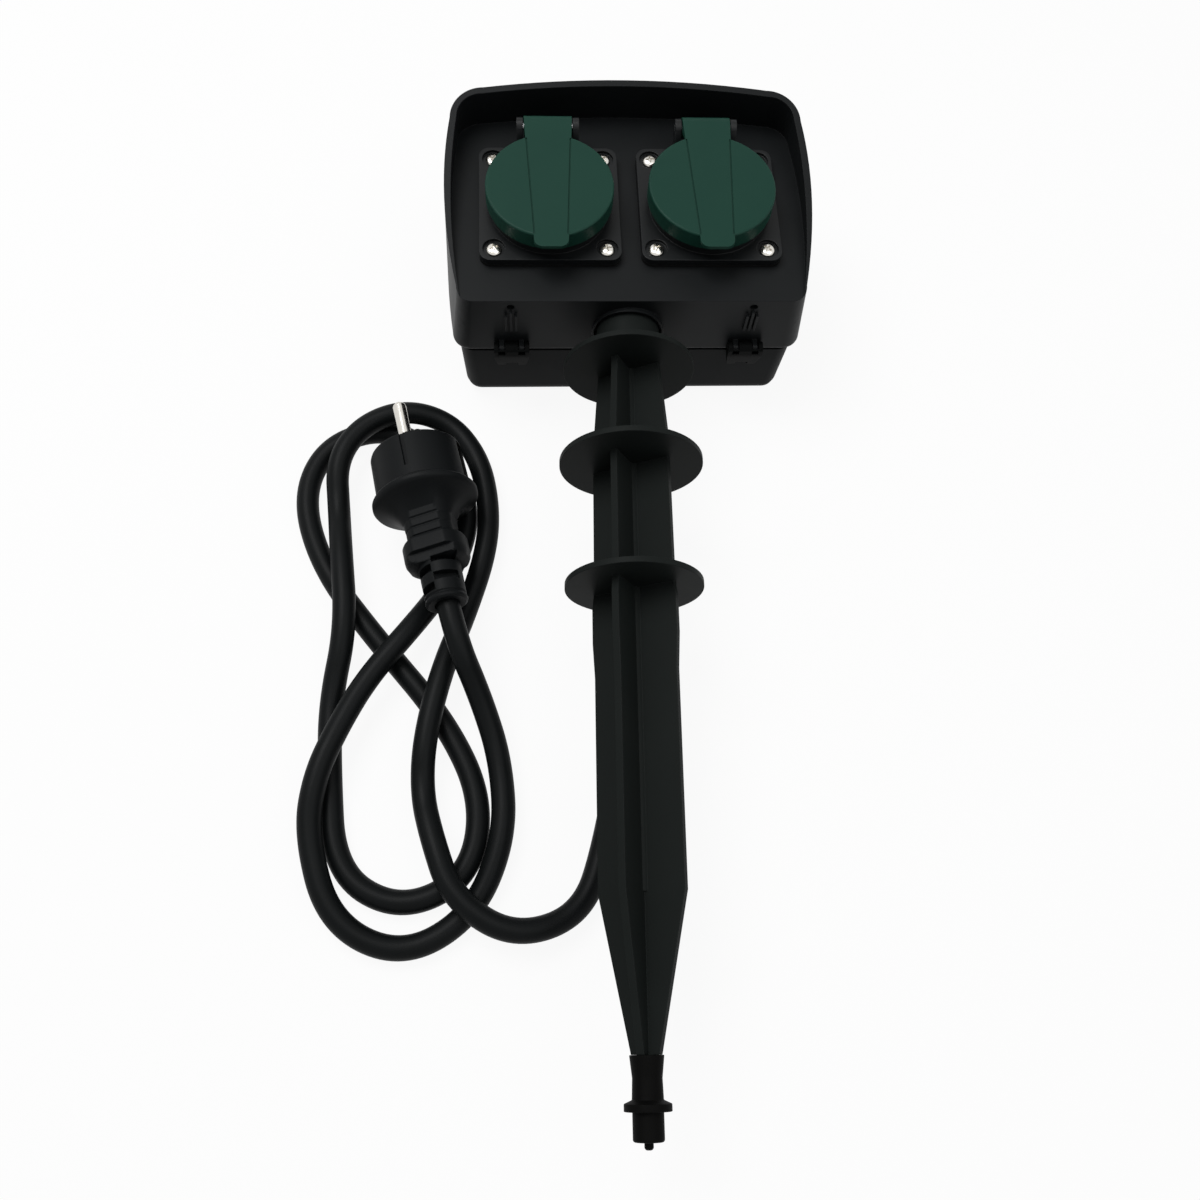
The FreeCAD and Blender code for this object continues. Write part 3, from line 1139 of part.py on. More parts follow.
def plug_place(shape):
    """Puts a piece built along +Y at the plug's place, its lower pin and its tail on the cord."""
    placed = shape.copy()
    placed.rotate(Vector(0, 0, 0), RIGHT, -PLUG_PITCH_DEG)
    placed.rotate(Vector(0, 0, 0), FRONT, PLUG_TURN_DEG)
    placed.translate(PLUG_END)
    return placed


def around_plug(shape, angle):
    """Turns a piece about the plug's own axis."""
    turned = shape.copy()
    turned.rotate(Vector(0, 0, 0), UP, angle)
    return turned


def plug_body():
    """The plug's moulded body: knob, grip, flange and the round front with guide grooves."""
    start = Vector(0, 0, 0)
    length = PLUG_LENGTH
    knob = PLUG_RELIEF_LENGTH
    profile = [
        (knob, 0), (knob, PLUG_KNOB_RADIUS - 2.5), (knob + 1.5, PLUG_KNOB_RADIUS), (knob + 7, PLUG_KNOB_RADIUS),
        (knob + 9.5, PLUG_GRIP_RADIUS + 0.8), (knob + 13, PLUG_GRIP_RADIUS), (knob + 20, PLUG_GRIP_RADIUS + 0.6),
        (knob + 22, PLUG_GRIP_RADIUS + 3), (PLUG_FLANGE_START, PLUG_FLANGE_RADIUS - 0.8),
        (PLUG_FLANGE_START + 1, PLUG_FLANGE_RADIUS), (PLUG_FLANGE_START + 2.6, PLUG_FLANGE_RADIUS),
        (PLUG_FLANGE_START + 4, PLUG_RADIUS + 0.2), (length - 1, PLUG_RADIUS), (length, PLUG_RADIUS - 1), (length, 0),
    ]
    body = revolve(profile, start, UP, FRONT)
    tools = []
    for turn in (0, 180):
        groove = box(-1.6, 1.6, PLUG_FLANGE_START + 5, length + 1, PLUG_RADIUS - 2.2, PLUG_RADIUS + 2)
        tools.append(around_plug(groove, -PLUG_PIN_TILT_DEG + turn))
        tools.append(around_plug(plug_earth_strip(0.1), -PLUG_PIN_TILT_DEG + 90 + turn))
        tools.append(around_plug(plug_pin(RUNNING_GAP), -PLUG_PIN_TILT_DEG + turn))
    return plug_place(cut(body, tools))


def plug_pin(gap):
    """A round pin of the plug above its axis, grown by a gap to cut its hole."""
    start = Vector(0, PLUG_LENGTH - 8, PIN_SPACING / 2)
    return rod(PLUG_PIN_RADIUS + gap, start, UP, PLUG_PIN_LENGTH + 8)


def plug_pins():
    """The two round pins of the plug."""
    pins = []
    for turn in (0, 180):
        pin = plug_pin(0.0)
        pin = pin.makeFillet(1.2, [e for e in pin.Edges if e.Closed and e.Vertexes[0].Y > PLUG_LENGTH + 5])
        pins.append(plug_place(around_plug(pin, -PLUG_PIN_TILT_DEG + turn)))
    return Part.makeCompound(pins)


def plug_earth_strip(gap):
    """An earth contact on the plug's side, grown by a gap to cut its seat."""
    seat = PLUG_RADIUS - 1.6
    return box(-3.5 - gap, 3.5 + gap, PLUG_FLANGE_START + 5 - gap, PLUG_LENGTH - 2 + gap, seat - gap, seat + 0.8 + 2.0 * (gap > 0))


def plug_earths():
    """The two earth contacts on the plug's sides."""
    return Part.makeCompound([
        plug_place(around_plug(plug_earth_strip(0.0), -PLUG_PIN_TILT_DEG + 90 + turn)) for turn in (0, 180)
    ])


def plug_relief():
    """The slotted strain relief at the plug's back, with its end bead."""
    bore = CORD_RADIUS + RUNNING_GAP
    end = PLUG_RELIEF_LENGTH
    profile = [
        (0, bore), (0, PLUG_RELIEF_RADIUS), (0.6, PLUG_RELIEF_RADIUS + 0.5), (1.8, PLUG_RELIEF_RADIUS + 0.5),
        (2.6, PLUG_RELIEF_RADIUS - 0.4), (end, PLUG_RELIEF_RADIUS + 0.3), (end, bore),
    ]
    body = revolve(profile, Vector(0, 0, 0), UP, FRONT)
    slots = []
    pitch = (PLUG_RELIEF_LENGTH - 3.2) / 4
    for i, turn in enumerate((90, 0, 90, 0)):
        y0 = 3.6 + i * pitch
        for half_turn in (0, 180):
            slot = box(-3.9, 3.9, y0, y0 + 0.55 * pitch, bore + 0.9, 20)
            slots.append(around_plug(slot, turn + half_turn + 12))
    return plug_place(cut(body, slots))


# The cord's route from the gland to the plug: chosen points, the cord's centre at each
CORD_ROUTE = [
    Vector(-4.3, -172.3, 4.1), Vector(-14.5, -220.4, 4.1), Vector(-23.2, -243.7, 6.8),
    Vector(-45.5, -250.6, 11.8), Vector(-64.9, -237.6, 13.1), Vector(-71.6, -217.7, 12.7),
    Vector(-75.4, -202.1, 8.0), Vector(-74.3, -184.5, 12.7), Vector(-68.6, -160.3, 12.5),
    Vector(-60.9, -137.3, 5.6), Vector(-52.0, -114.2, 6.8), Vector(-48.9, -95.8, 7.2),
    Vector(-54.0, -76.2, 7.8), Vector(-66.5, -61.4, 8.4), Vector(-82.9, -57.6, 12.5),
    Vector(-99.2, -64.4, 12.8), Vector(-108.2, -79.1, 12.7), Vector(-107.2, -97.9, 7.0),
    Vector(-104.9, -115.3, 12.7), Vector(-102.0, -144.5, 12.7), Vector(-107.6, -168.8, 4.1),
    Vector(-106.9, -192.2, 4.1), Vector(-103.8, -227.0, 4.1), Vector(-82.5, -240.2, 4.1),
    Vector(-60.0, -230.6, 4.1), Vector(-55.1, -205.3, 4.1), Vector(-67.8, -177.2, 4.1),
    Vector(-92.2, -147.0, 4.1), Vector(-113.2, -118.3, 4.1), Vector(-121.7, -88.5, 4.1),
    Vector(-112.2, -66.9, 4.1), Vector(-89.3, -60.6, 4.1), Vector(-62.0, -74.7, 4.1),
    Vector(-55.7, -101.6, 4.1), Vector(-69.4, -127.6, 4.1), Vector(-78.8, -144.7, 12.9),
    Vector(-93.7, -162.8, 12.7), Vector(-102.9, -179.6, 12.7), Vector(-110.0, -196.4, 12.6),
    Vector(-112.5, -214.9, 9.8), Vector(-104.3, -243.2, 7.4), Vector(-81.3, -254.7, 4.6),
    Vector(-58.5, -242.5, 4.1), Vector(-47.7, -217.8, 7.2), Vector(-49.0, -192.0, 7.0),
    Vector(-52.2, -170.9, 12.6),
]


def cord():
    """The free cord from the gland to the plug, with what its route measures."""
    entry = [Vector(GLAND_X, up(SHEATH_END), GLAND_Z), Vector(GLAND_X, up(-CORD_STRAIGHT), GLAND_Z)]
    into_plug = [
        plug_place(Part.Vertex(Vector(0, along, 0))).Point for along in (-CORD_STRAIGHT_PLUG, PLUG_RELIEF_LENGTH - 0.2)
    ]
    points = entry + CORD_ROUTE + into_plug
    bar, radii, length = round_bar(points, CORD_RADIUS)
    print("cord length", round(length, 1), "tightest radius", round(min(radii), 1))
    print("cord radii", [round(r, 1) for r in radii])
    print("cord volume share", round(bar.Volume / (math.pi * CORD_RADIUS**2 * length), 5))
    return bar


def parts():
    """Every node's name and shape."""
    shapes = {
        "front_housing": front_housing(),
        "rear_cover": rear_cover(),
        "cover_gasket": cover_gasket(),
        "cover_hinge_pins": hinge_pins(),
        "partition_panel": partition_panel(),
        "panel_screws": panel_screws(),
        "timer_case": timer_case(),
        "timer_dial": timer_dial(),
        "timer_tappets": timer_tappets(),
        "dial_screw": dial_screw(),
        "override_switch": override_switch(),
        "timer_motor": timer_motor(),
        "timer_screws": timer_screws(),
        "terminal_block": terminal_block(),
        "terminal_screws": terminal_screws(),
        "supply_wires": supply_wires(),
        "link_wires": link_wires(),
        "spike": spike(),
        "spike_o_ring": spike_o_ring(),
        "spike_clip": spike_clip(),
        "tip_cap": tip_cap(),
        "cord_gland": cord_gland(),
        "cord_clamp": cord_clamp(),
        "clamp_screws": clamp_screws(),
        "cord": cord(),
        "plug_body": plug_body(),
        "plug_relief": plug_relief(),
        "plug_pins": plug_pins(),
        "plug_earths": plug_earths(),
    }
    for name, side in (("left", -1), ("right", 1)):
        shapes["latch_" + name] = latch(side)
        shapes["latch_pin_" + name] = latch_pin(side)
        shapes["socket_flange_" + name] = socket_flange(side)
        shapes["flange_gasket_" + name] = flange_gasket(side)
        shapes["flange_screws_" + name] = flange_screws(side)
        shapes["contact_carrier_" + name] = contact_carrier(side)
        shapes["pin_contacts_" + name] = pin_contacts(side)
        shapes["earth_clips_" + name] = earth_clips(side)
        shapes["lid_" + name] = lid(side)
        shapes["lid_seal_" + name] = lid_seal(side)
        shapes["lid_pin_" + name] = lid_pin(side)
        shapes["lid_spring_" + name] = lid_spring(side)
    return shapes


def main():
    """Writes one STEP file for each node."""
    os.makedirs("parts", exist_ok=True)
    for name, shape in parts().items():
        solids = shape.Solids
        valid = all(solid.isValid() for solid in solids)
        print(name, len(solids), "solids", round(sum(s.Volume for s in solids), 1), "mm3", "ok" if valid else "INVALID")
        shape.exportStep("parts/" + name + ".step")


main()
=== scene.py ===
"""Looks of a garden socket spike with timer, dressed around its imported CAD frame.

All lengths are in metres in the frame of the CAD, unless a name or docstring says millimetres. The part lies
on its back on the floor at z 0, +Z points out of the sockets, +Y to the top of the rain hood, and the spike
runs along -Y.
"""

import json
import logging
import math
from collections.abc import Iterable, Sequence
from dataclasses import dataclass
from enum import Enum
from typing import Any

import bmesh
import bpy
from mathutils import Matrix, Vector

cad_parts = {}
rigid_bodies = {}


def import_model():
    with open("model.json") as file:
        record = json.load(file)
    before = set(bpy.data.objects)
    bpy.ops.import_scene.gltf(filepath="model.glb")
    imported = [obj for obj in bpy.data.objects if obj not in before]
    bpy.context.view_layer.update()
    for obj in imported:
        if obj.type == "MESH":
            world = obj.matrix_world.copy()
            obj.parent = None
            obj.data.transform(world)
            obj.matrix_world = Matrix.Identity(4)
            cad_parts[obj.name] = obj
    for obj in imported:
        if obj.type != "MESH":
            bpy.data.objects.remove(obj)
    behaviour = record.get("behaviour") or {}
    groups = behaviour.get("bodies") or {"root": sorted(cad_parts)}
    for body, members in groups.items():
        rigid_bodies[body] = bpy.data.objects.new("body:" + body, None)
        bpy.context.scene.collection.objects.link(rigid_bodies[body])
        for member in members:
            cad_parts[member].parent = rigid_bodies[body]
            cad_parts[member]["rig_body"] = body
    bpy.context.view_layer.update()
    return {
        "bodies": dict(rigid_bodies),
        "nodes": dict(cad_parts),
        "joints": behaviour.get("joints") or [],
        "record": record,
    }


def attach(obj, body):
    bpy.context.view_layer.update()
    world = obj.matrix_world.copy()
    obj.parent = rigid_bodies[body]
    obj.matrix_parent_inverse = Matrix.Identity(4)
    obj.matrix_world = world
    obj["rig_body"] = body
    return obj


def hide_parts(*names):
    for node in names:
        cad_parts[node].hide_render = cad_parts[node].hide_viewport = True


LOG = logging.getLogger("garden_socket")

Point = tuple[float, float, float]
Shape = bmesh.types.BMesh

MM = 0.001
# The CAD body that carries everything that doesn't move
HOUSING = "housing"
# Vertices of a carved or copied mesh, and of a turned one, that lie nearer than this are merged
MERGE_DISTANCE = 2e-6
LATHE_MERGE_DISTANCE = 1e-6
# Faces of a copied mesh that turn less than this, in degrees, are one flat
FLAT_DEG = 0.6
# The least sine or cosine that a length is divided by
LEAST_SHARE = 0.01
# How much a large face outweighs its small neighbours in the shading
FLAT_FACE_WEIGHT = 60
X_AXIS = Vector((1, 0, 0))
Y_AXIS = Vector((0, 1, 0))
Z_AXIS = Vector((0, 0, 1))

# The width in millimetres over which a moulding's edges are rounded in the shading and carry a painted
# highlight, and the cosine at which that painted highlight is full
EDGE_ROUNDING_MM = 0.35
EDGE_FULL_COSINE = 0.75
# The gain and the lift that turn a moulding's colour to that of the painted highlight on its edges
EDGE_HIGHLIGHT_GAIN = 2.6
EDGE_HIGHLIGHT_LIFT = 0.006
# How far a moulding's roughness wanders to either side
GLOSS_WANDER = 0.06
# The least and greatest share of a metal's roughness, and the size of its dull spots in millimetres
METAL_GLOSS_SHARES = (0.7, 1.4)
METAL_SPOT_MM = 2.5


def linear(code: str) -> tuple[float, float, float, float]:
    """Turns an sRGB hex value to the linear colour that Blender's sockets take.

    Args:
        code: The colour as "#RRGGBB".

    Returns:
        Linear red, green, blue and an alpha of 1.
    """
    shares = [int(code[i : i + 2], 16) / 255 for i in (1, 3, 5)]
    return (*(s / 12.92 if s <= 0.04045 else ((s + 0.055) / 1.055) ** 2.4 for s in shares), 1.0)


def add_node(
    tree: bpy.types.NodeTree,
    kind: str,
    values: dict[Any, Any] | None = None,
    links: dict[Any, bpy.types.NodeSocket] | None = None,
    **settings: Any,
) -> bpy.types.Node:
    """Adds one node with its settings, input values and incoming links.

    Args:
        tree: The node tree that gets the node.
        kind: Blender's name of the node type.
        values: Input values by the input's name or number.
        links: Output sockets of other nodes by the input's name or number.
        **settings: Attributes of the node itself.

    Returns:
        The new node.
    """
    node = tree.nodes.new(kind)
    for name, value in settings.items():
        setattr(node, name, value)
    for name, value in (values or {}).items():
        node.inputs[name].default_value = value
    for name, socket in (links or {}).items():
        tree.links.new(socket, node.inputs[name])
    return node


def empty_material(name: str) -> tuple[bpy.types.Material, bpy.types.NodeTree]:
    """A new material with an empty node tree.

    Args:
        name: The material's name.

    Returns:
        The material and its tree.
    """
    material = bpy.data.materials.new(name)
    material.use_nodes = True
    material.node_tree.nodes.clear()
    return material, material.node_tree


def noise(tree: bpy.types.NodeTree, size_mm: float, values: dict[str, float]) -> bpy.types.NodeSocket:
    """A noise that stays with the piece.

    Args:
        tree: The tree that gets it.
        size_mm: The distance between two of its crests.
        values: Its other inputs.

    Returns:
        The socket that carries its value.
    """
    place = add_node(tree, "ShaderNodeTexCoord").outputs["Object"]
    values = {"Scale": 1 / (size_mm * MM), **values}
    return add_node(tree, "ShaderNodeTexNoise", values, {"Vector": place}).outputs["Fac"]


def remap(
    tree: bpy.types.NodeTree,
    value: bpy.types.NodeSocket,
    low: float,
    high: float,
    start: float = 0.0,
    end: float = 1.0,
) -> bpy.types.NodeSocket:
    """Maps one range of a value to another.

    Args:
        tree: The tree that gets the node.
        value: The value.
        low: What the start becomes.
        high: What the end becomes.
        start: Where the value's range starts.
        end: Where it ends.

    Returns:
        The socket that carries the mapped value.
    """
    ranges = {"From Min": start, "From Max": end, "To Min": low, "To Max": high}
    return add_node(tree, "ShaderNodeMapRange", ranges, {"Value": value}).outputs["Result"]


def bump(
    tree: bpy.types.NodeTree,
    height: bpy.types.NodeSocket,
    depth_mm: float,
    normal: bpy.types.NodeSocket | None = None,
) -> bpy.types.NodeSocket:
    """Turns a height to a normal.

    Args:
        tree: The tree that gets the node.
        height: The height, from 0 to 1.
        depth_mm: How deep a height of 1 is.
        normal: The normal that it starts from, if not the surface's own.

    Returns:
        The socket that carries the normal.
    """
    links = {"Height": height} if normal is None else {"Height": height, "Normal": normal}
    values = {"Strength": 1.0, "Distance": depth_mm * MM}
    return add_node(tree, "ShaderNodeBump", values, links).outputs["Normal"]


@dataclass(frozen=True)
class Moulding:
    """A moulded plastic or rubber: its two close colours, gloss and surface texture.

    The colour wanders slowly between the two, as flow in the mould leaves it. The grain is the texture that
    was eroded into the mould, and its size is the distance between two bumps.
    """

    name: str
    colour: str
    flow_colour: str
    roughness: float
    specular: float
    grain_mm: float
    grain_depth_mm: float
    flow_mm: float = 22.0
    # How much of the painted highlight on the edges shows
    edge_share: float = 0.35

    def material(self) -> bpy.types.Material:
        """The finish as a node material, made once."""
        if self.name in bpy.data.materials:
            return bpy.data.materials[self.name]
        material, tree = empty_material(self.name)
        flow = noise(tree, self.flow_mm, {"Detail": 3.0, "Roughness": 0.55, "Distortion": 0.6})
        grain = noise(tree, self.grain_mm, {"Detail": 2.0, "Roughness": 0.6})
        bevel = add_node(tree, "ShaderNodeBevel", {"Radius": EDGE_ROUNDING_MM * MM}, samples=4)
        rounded = bevel.outputs["Normal"]
        gloss = remap(tree, flow, self.roughness - GLOSS_WANDER, self.roughness + GLOSS_WANDER)
        shader = add_node(
            tree,
            "ShaderNodeBsdfPrincipled",
            {"Specular IOR Level": self.specular},
            {
                "Base Color": self.worn_colour(tree, flow, rounded),
                "Roughness": gloss,
                "Normal": bump(tree, grain, self.grain_depth_mm, rounded),
            },
        )
        add_node(tree, "ShaderNodeOutputMaterial", links={"Surface": shader.outputs["BSDF"]})
        return material

    def worn_colour(
        self, tree: bpy.types.NodeTree, flow: bpy.types.NodeSocket, rounded: bpy.types.NodeSocket
    ) -> bpy.types.NodeSocket:
        """The wandering colour, with a painted highlight where the surface turns at a rounded edge.

        Args:
            tree: The material's tree.
            flow: The slow noise between the two colours.
            rounded: The normal of the rounded edges.

        Returns:
            The socket that carries the colour.
        """
        colours = {6: linear(self.colour), 7: linear(self.flow_colour)}
        base = add_node(tree, "ShaderNodeMix", colours, {0: flow}, data_type="RGBA").outputs[2]
        plain = add_node(tree, "ShaderNodeNewGeometry").outputs["Normal"]
        match = add_node(tree, "ShaderNodeVectorMath", links={0: rounded, 1: plain}, operation="DOT_PRODUCT")
        # Painted highlight: the colour is lightened where the rounded normal turns away from the plain one
        edge = remap(tree, match.outputs["Value"], 0.0, self.edge_share, 1.0, EDGE_FULL_COSINE)
        lighter = [min(1.0, EDGE_HIGHLIGHT_GAIN * c + EDGE_HIGHLIGHT_LIFT) for c in linear(self.colour)[:3]] + [1.0]
        return add_node(tree, "ShaderNodeMix", {7: lighter}, {0: edge, 6: base}, data_type="RGBA").outputs[2]


@dataclass(frozen=True)
class Metal:
    """A bare or plated metal: its colour, polish and the fine lines of turning or drawing."""

    name: str
    colour: str
    roughness: float
    line_mm: float
    line_depth_mm: float

    def material(self) -> bpy.types.Material:
        """The finish as a node material, made once."""
        if self.name in bpy.data.materials:
            return bpy.data.materials[self.name]
        material, tree = empty_material(self.name)
        lines = noise(tree, self.line_mm, {"Detail": 3.0, "Roughness": 0.7})
        dull = noise(tree, METAL_SPOT_MM, {"Detail": 2.0})
        least, greatest = METAL_GLOSS_SHARES
        shader = add_node(
            tree,
            "ShaderNodeBsdfPrincipled",
            {"Base Color": linear(self.colour), "Metallic": 1.0},
            {
                "Roughness": remap(tree, dull, self.roughness * least, self.roughness * greatest),
                "Normal": bump(tree, lines, self.line_depth_mm),
            },
        )
        add_node(tree, "ShaderNodeOutputMaterial", links={"Surface": shader.outputs["BSDF"]})
        return material


# After the name and the two colours come roughness, specular level, grain size and grain depth, then the
# flow's length and how much of the painted edge highlight shows

# Spark-eroded satin polypropylene: a fine even grain breaks up the highlight. Real grain of about 0.15 mm is
# drawn at 0.45 mm, because a finer one doesn't show
HOUSING_BLACK = Moulding("polypropylene_eroded_black", "#0D0F10", "#131516", 0.46, 0.10, 0.45, 0.010)
COVER_BLACK = Moulding("polypropylene_eroded_black_cover", "#0A0C0D", "#0F1112", 0.50, 0.06, 0.45, 0.010)
# Nylon moulding, smoother than the shell, so its highlight is tighter
LATCH_BLACK = Moulding("nylon_moulded_black", "#060707", "#0A0B0B", 0.58, 0.03, 0.6, 0.005, 9.0)
# Flame-safe nylon of the socket inserts: smooth from a polished mould, the deepest black
FLANGE_BLACK = Moulding("nylon_polished_black", "#0F1112", "#121415", 0.36, 0.18, 0.7, 0.003, 14.0)
# Dark green polypropylene of the lids: satin, even, with hardly any grain
LID_GREEN = Moulding("polypropylene_satin_green", "#12332A", "#15362C", 0.44, 0.10, 0.5, 0.005, 16.0, 0.08)
# Recycled polypropylene of the spike: a touch greener and lighter, with slow flow marks along the ribs
SPIKE_BLACK = Moulding("polypropylene_spike_black", "#151817", "#1A1D1C", 0.50, 0.04, 0.8, 0.010, 30.0)
# Soft polyethylene of the tip's cap: duller and browner than the spike
CAP_DARK = Moulding("polyethylene_soft_dark", "#060606", "#0A0A09", 0.54, 0.03, 0.6, 0.008, 7.0, 0.1)
# Moulded EPDM seals: dull, with a little dust in the skin
SEAL_RUBBER = Moulding("epdm_moulded_black", "#0A0A0A", "#101010", 0.70, 0.08, 0.4, 0.01, 9.0, 0.1)
# Extruded rubber sheath: dull, with a fine skin and a trace of grey where it was handled
CORD_RUBBER = Moulding("rubber_extruded_black", "#090B0B", "#0F1112", 0.44, 0.07, 0.5, 0.010, 12.0, 0.0)
# Moulded rubber of the plug and of the cord's glands
PLUG_RUBBER = Moulding("rubber_moulded_black", "#090B0C", "#0E1011", 0.50, 0.08, 0.45, 0.012, 11.0, 0.2)
# Grey urea insulator behind the wells
CARRIER_GREY = Moulding("urea_moulded_grey", "#4A4A49", "#555453", 0.45, 0.4, 0.5, 0.004, 9.0)
PANEL_GREY = Moulding("polypropylene_moulded_panel", "#1B1C1E", "#242527", 0.52, 0.25, 0.5, 0.01)
# Polycarbonate of the timer case, polished outside
TIMER_GREY = Moulding("polycarbonate_moulded_grey", "#8D9092", "#969899", 0.38, 0.45, 0.6, 0.003, 18.0, 0.15)
DIAL_WHITE = Moulding("abs_moulded_white", "#C6C6C0", "#CFCFCA", 0.40, 0.45, 0.6, 0.003, 15.0, 0.1)
TAPPET_GREEN = Moulding("abs_moulded_green", "#2F7A56", "#378460", 0.40, 0.4, 0.6, 0.003, 6.0, 0.2)
TERMINAL_WHITE = Moulding("nylon_moulded_white", "#BDBBB0", "#C8C6BC", 0.45, 0.4, 0.5, 0.005, 6.0, 0.1)
# Extruded PVC of the wires' insulation, glossy from the die
WIRE_BLUE = Moulding("pvc_extruded_blue", "#28509A", "#2F5AA6", 0.34, 0.45, 0.5, 0.003, 7.0, 0.0)
WIRE_BROWN = Moulding("pvc_extruded_brown", "#5A3320", "#633A25", 0.34, 0.45, 0.5, 0.003, 7.0, 0.0)
WIRE_GREEN = Moulding("pvc_extruded_green", "#5F9A2C", "#6CA436", 0.34, 0.45, 0.5, 0.003, 7.0, 0.0)
# After a metal's name and colour come roughness, and the width and depth of its fine lines

# Zinc-plated steel: blue-white, with a soft bright passivated skin
STEEL_ZINC = Metal("steel_zinc_plated", "#C4C6C8", 0.24, 0.25, 0.0012)
# Oxide-blackened steel of the latch pins: nearly black, with an oily soft gloss
STEEL_BLACKED = Metal("steel_oxide_blackened", "#1A1A1C", 0.42, 0.25, 0.001)
# Nickel-plated screws and pins: warmer and brighter
NICKEL = Metal("brass_nickel_plated", "#D6D3CC", 0.20, 0.5, 0.0005)
BRASS = Metal("brass_drawn", "#B08C46", 0.34, 0.3, 0.0012)

# The finish of each of the record's material slots
SLOT_FINISH: dict[str, Moulding | Metal] = {
    "housing_black": HOUSING_BLACK,
    "cover_black": COVER_BLACK,
    "latch_black": LATCH_BLACK,
    "flange_black": FLANGE_BLACK,
    "lid_green": LID_GREEN,
    "spike_black": SPIKE_BLACK,
    "cap_dark": CAP_DARK,
    "seal_rubber": SEAL_RUBBER,
    "cord_rubber": CORD_RUBBER,
    "plug_rubber": PLUG_RUBBER,
    "steel": STEEL_ZINC,
    "steel_black": STEEL_BLACKED,
    "nickel": NICKEL,
    "brass": BRASS,
    "carrier_grey": CARRIER_GREY,
    "panel_grey": PANEL_GREY,
    "timer_grey": TIMER_GREY,
    "dial_white": DIAL_WHITE,
    "tappet_green": TAPPET_GREEN,
    "terminal_white": TERMINAL_WHITE,
    "wire_blue": WIRE_BLUE,
}


def link(item: bpy.types.Object) -> None:
    """Puts an object in the scene.

    Args:
        item: The object.
    """
    bpy.context.scene.collection.objects.link(item)


def to_mesh(name: str, shape: Shape) -> bpy.types.Mesh:
    """Turns a shape into a mesh.

    Args:
        name: The mesh's name.
        shape: The shape; it is freed here.

    Returns:
        The mesh.
    """
    mesh = bpy.data.meshes.new(name)
    shape.to_mesh(mesh)
    shape.free()
    return mesh


def enter(piece: bpy.types.Object, body: str, replaces: Iterable[str] = ()) -> None:
    """Puts a piece in the scene on the body that carries it, and hides the CAD nodes that it stands for.

    Args:
        piece: The piece.
        body: The CAD body that carries it.
        replaces: The CAD nodes that it stands for.
    """
    link(piece)
    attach(piece, body)
    if replaces:
        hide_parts(*replaces)


def finish_piece(
    name: str,
    shape: Shape,
    slot: str,
    body: str,
    replaces: Iterable[str] = (),
    smooth_deg: float = 32.0,
) -> bpy.types.Object:
    """Turns a finished shape into an object that is dressed and rides on its body.

    Args:
        name: The piece's name.
        shape: The shape in the CAD frame; it is freed here.
        slot: The record's material slot.
        body: The CAD body that carries it.
        replaces: The CAD nodes that it stands for.
        smooth_deg: Edges that turn more than this stay sharp.

    Returns:
        The new object.
    """
    mesh = to_mesh(name, shape)
    mesh.shade_smooth()
    mesh.set_sharp_from_angle(angle=math.radians(smooth_deg))
    mesh.materials.append(SLOT_FINISH[slot].material())
    piece = bpy.data.objects.new(name, mesh)
    flat = piece.modifiers.new("flat_faces", "WEIGHTED_NORMAL")
    flat.keep_sharp = True
    flat.weight = FLAT_FACE_WEIGHT
    enter(piece, body, replaces)
    LOG.info("made %s with %d faces on %s", name, len(mesh.polygons), body)
    return piece


class Side(Enum):
    """The two sides of the part, as the viewer of the sockets sees them."""

    LEFT = -1
    RIGHT = 1

    @property
    def word(self) -> str:
        """The side's name in the CAD's node names."""
        return self.name.lower()


def place_block(shape: Shape, low: Point, high: Point, turn: Matrix) -> None:
    """Adds a block between two corners, in millimetres, and turns it.

    Args:
        shape: The mesh that gets the block.
        low: The lowest corner.
        high: The highest corner.
        turn: The turn, about the origin.
    """
    spans = [(b - a) * MM for a, b in zip(low, high, strict=True)]
    middle = Vector([(a + b) / 2 * MM for a, b in zip(low, high, strict=True)])
    matrix = turn @ Matrix.Translation(middle) @ Matrix.Diagonal((*spans, 1.0))
    bmesh.ops.create_cube(shape, size=1.0, matrix=matrix)


def lathe(
    shape: Shape, profile: Iterable[tuple[float, float]], axis: Vector, side: Vector, steps: int
) -> None:
    """Spins a profile about an axis through the origin.

    Args:
        shape: The mesh that gets the turned form.
        profile: Distances along the axis and radii, in millimetres.
        axis: The axis.
        side: A direction across the axis.
        steps: The number of steps round.
    """
    line = [shape.verts.new((axis * along + side * radius) * MM) for along, radius in profile]
    runs = [shape.edges.new(pair) for pair in zip(line, line[1:])]
    bmesh.ops.spin(
        shape, geom=line + runs, cent=(0, 0, 0), axis=axis, angle=math.tau, steps=steps, use_merge=True
    )
    bmesh.ops.remove_doubles(shape, verts=shape.verts, dist=LATHE_MERGE_DISTANCE)
    bmesh.ops.recalc_face_normals(shape, faces=shape.faces)


def carve(shape: Shape, cutter: Shape) -> Shape:
    """Takes one closed mesh away from another.

    Args:
        shape: What is carved; it is freed here.
        cutter: What is taken away; it is freed here.

    Returns:
        The carved mesh.
    """
    blocks = []
    for name, part in (("carved", shape), ("cutter", cutter)):
        block = bpy.data.objects.new(name, to_mesh(name, part))
        link(block)
        blocks.append(block)
    target, tool = blocks
    step = target.modifiers.new("carve", "BOOLEAN")
    step.operation = "DIFFERENCE"
    step.solver = "EXACT"
    step.use_self = True
    step.object = tool
    depsgraph = bpy.context.evaluated_depsgraph_get()
    carved = bpy.data.meshes.new_from_object(target.evaluated_get(depsgraph))
    result = bmesh.new()
    result.from_mesh(carved)
    bpy.data.meshes.remove(carved)
    for block in blocks:
        mesh = block.data
        bpy.data.objects.remove(block)
        bpy.data.meshes.remove(mesh)
    bmesh.ops.remove_doubles(result, verts=result.verts, dist=MERGE_DISTANCE)
    return result


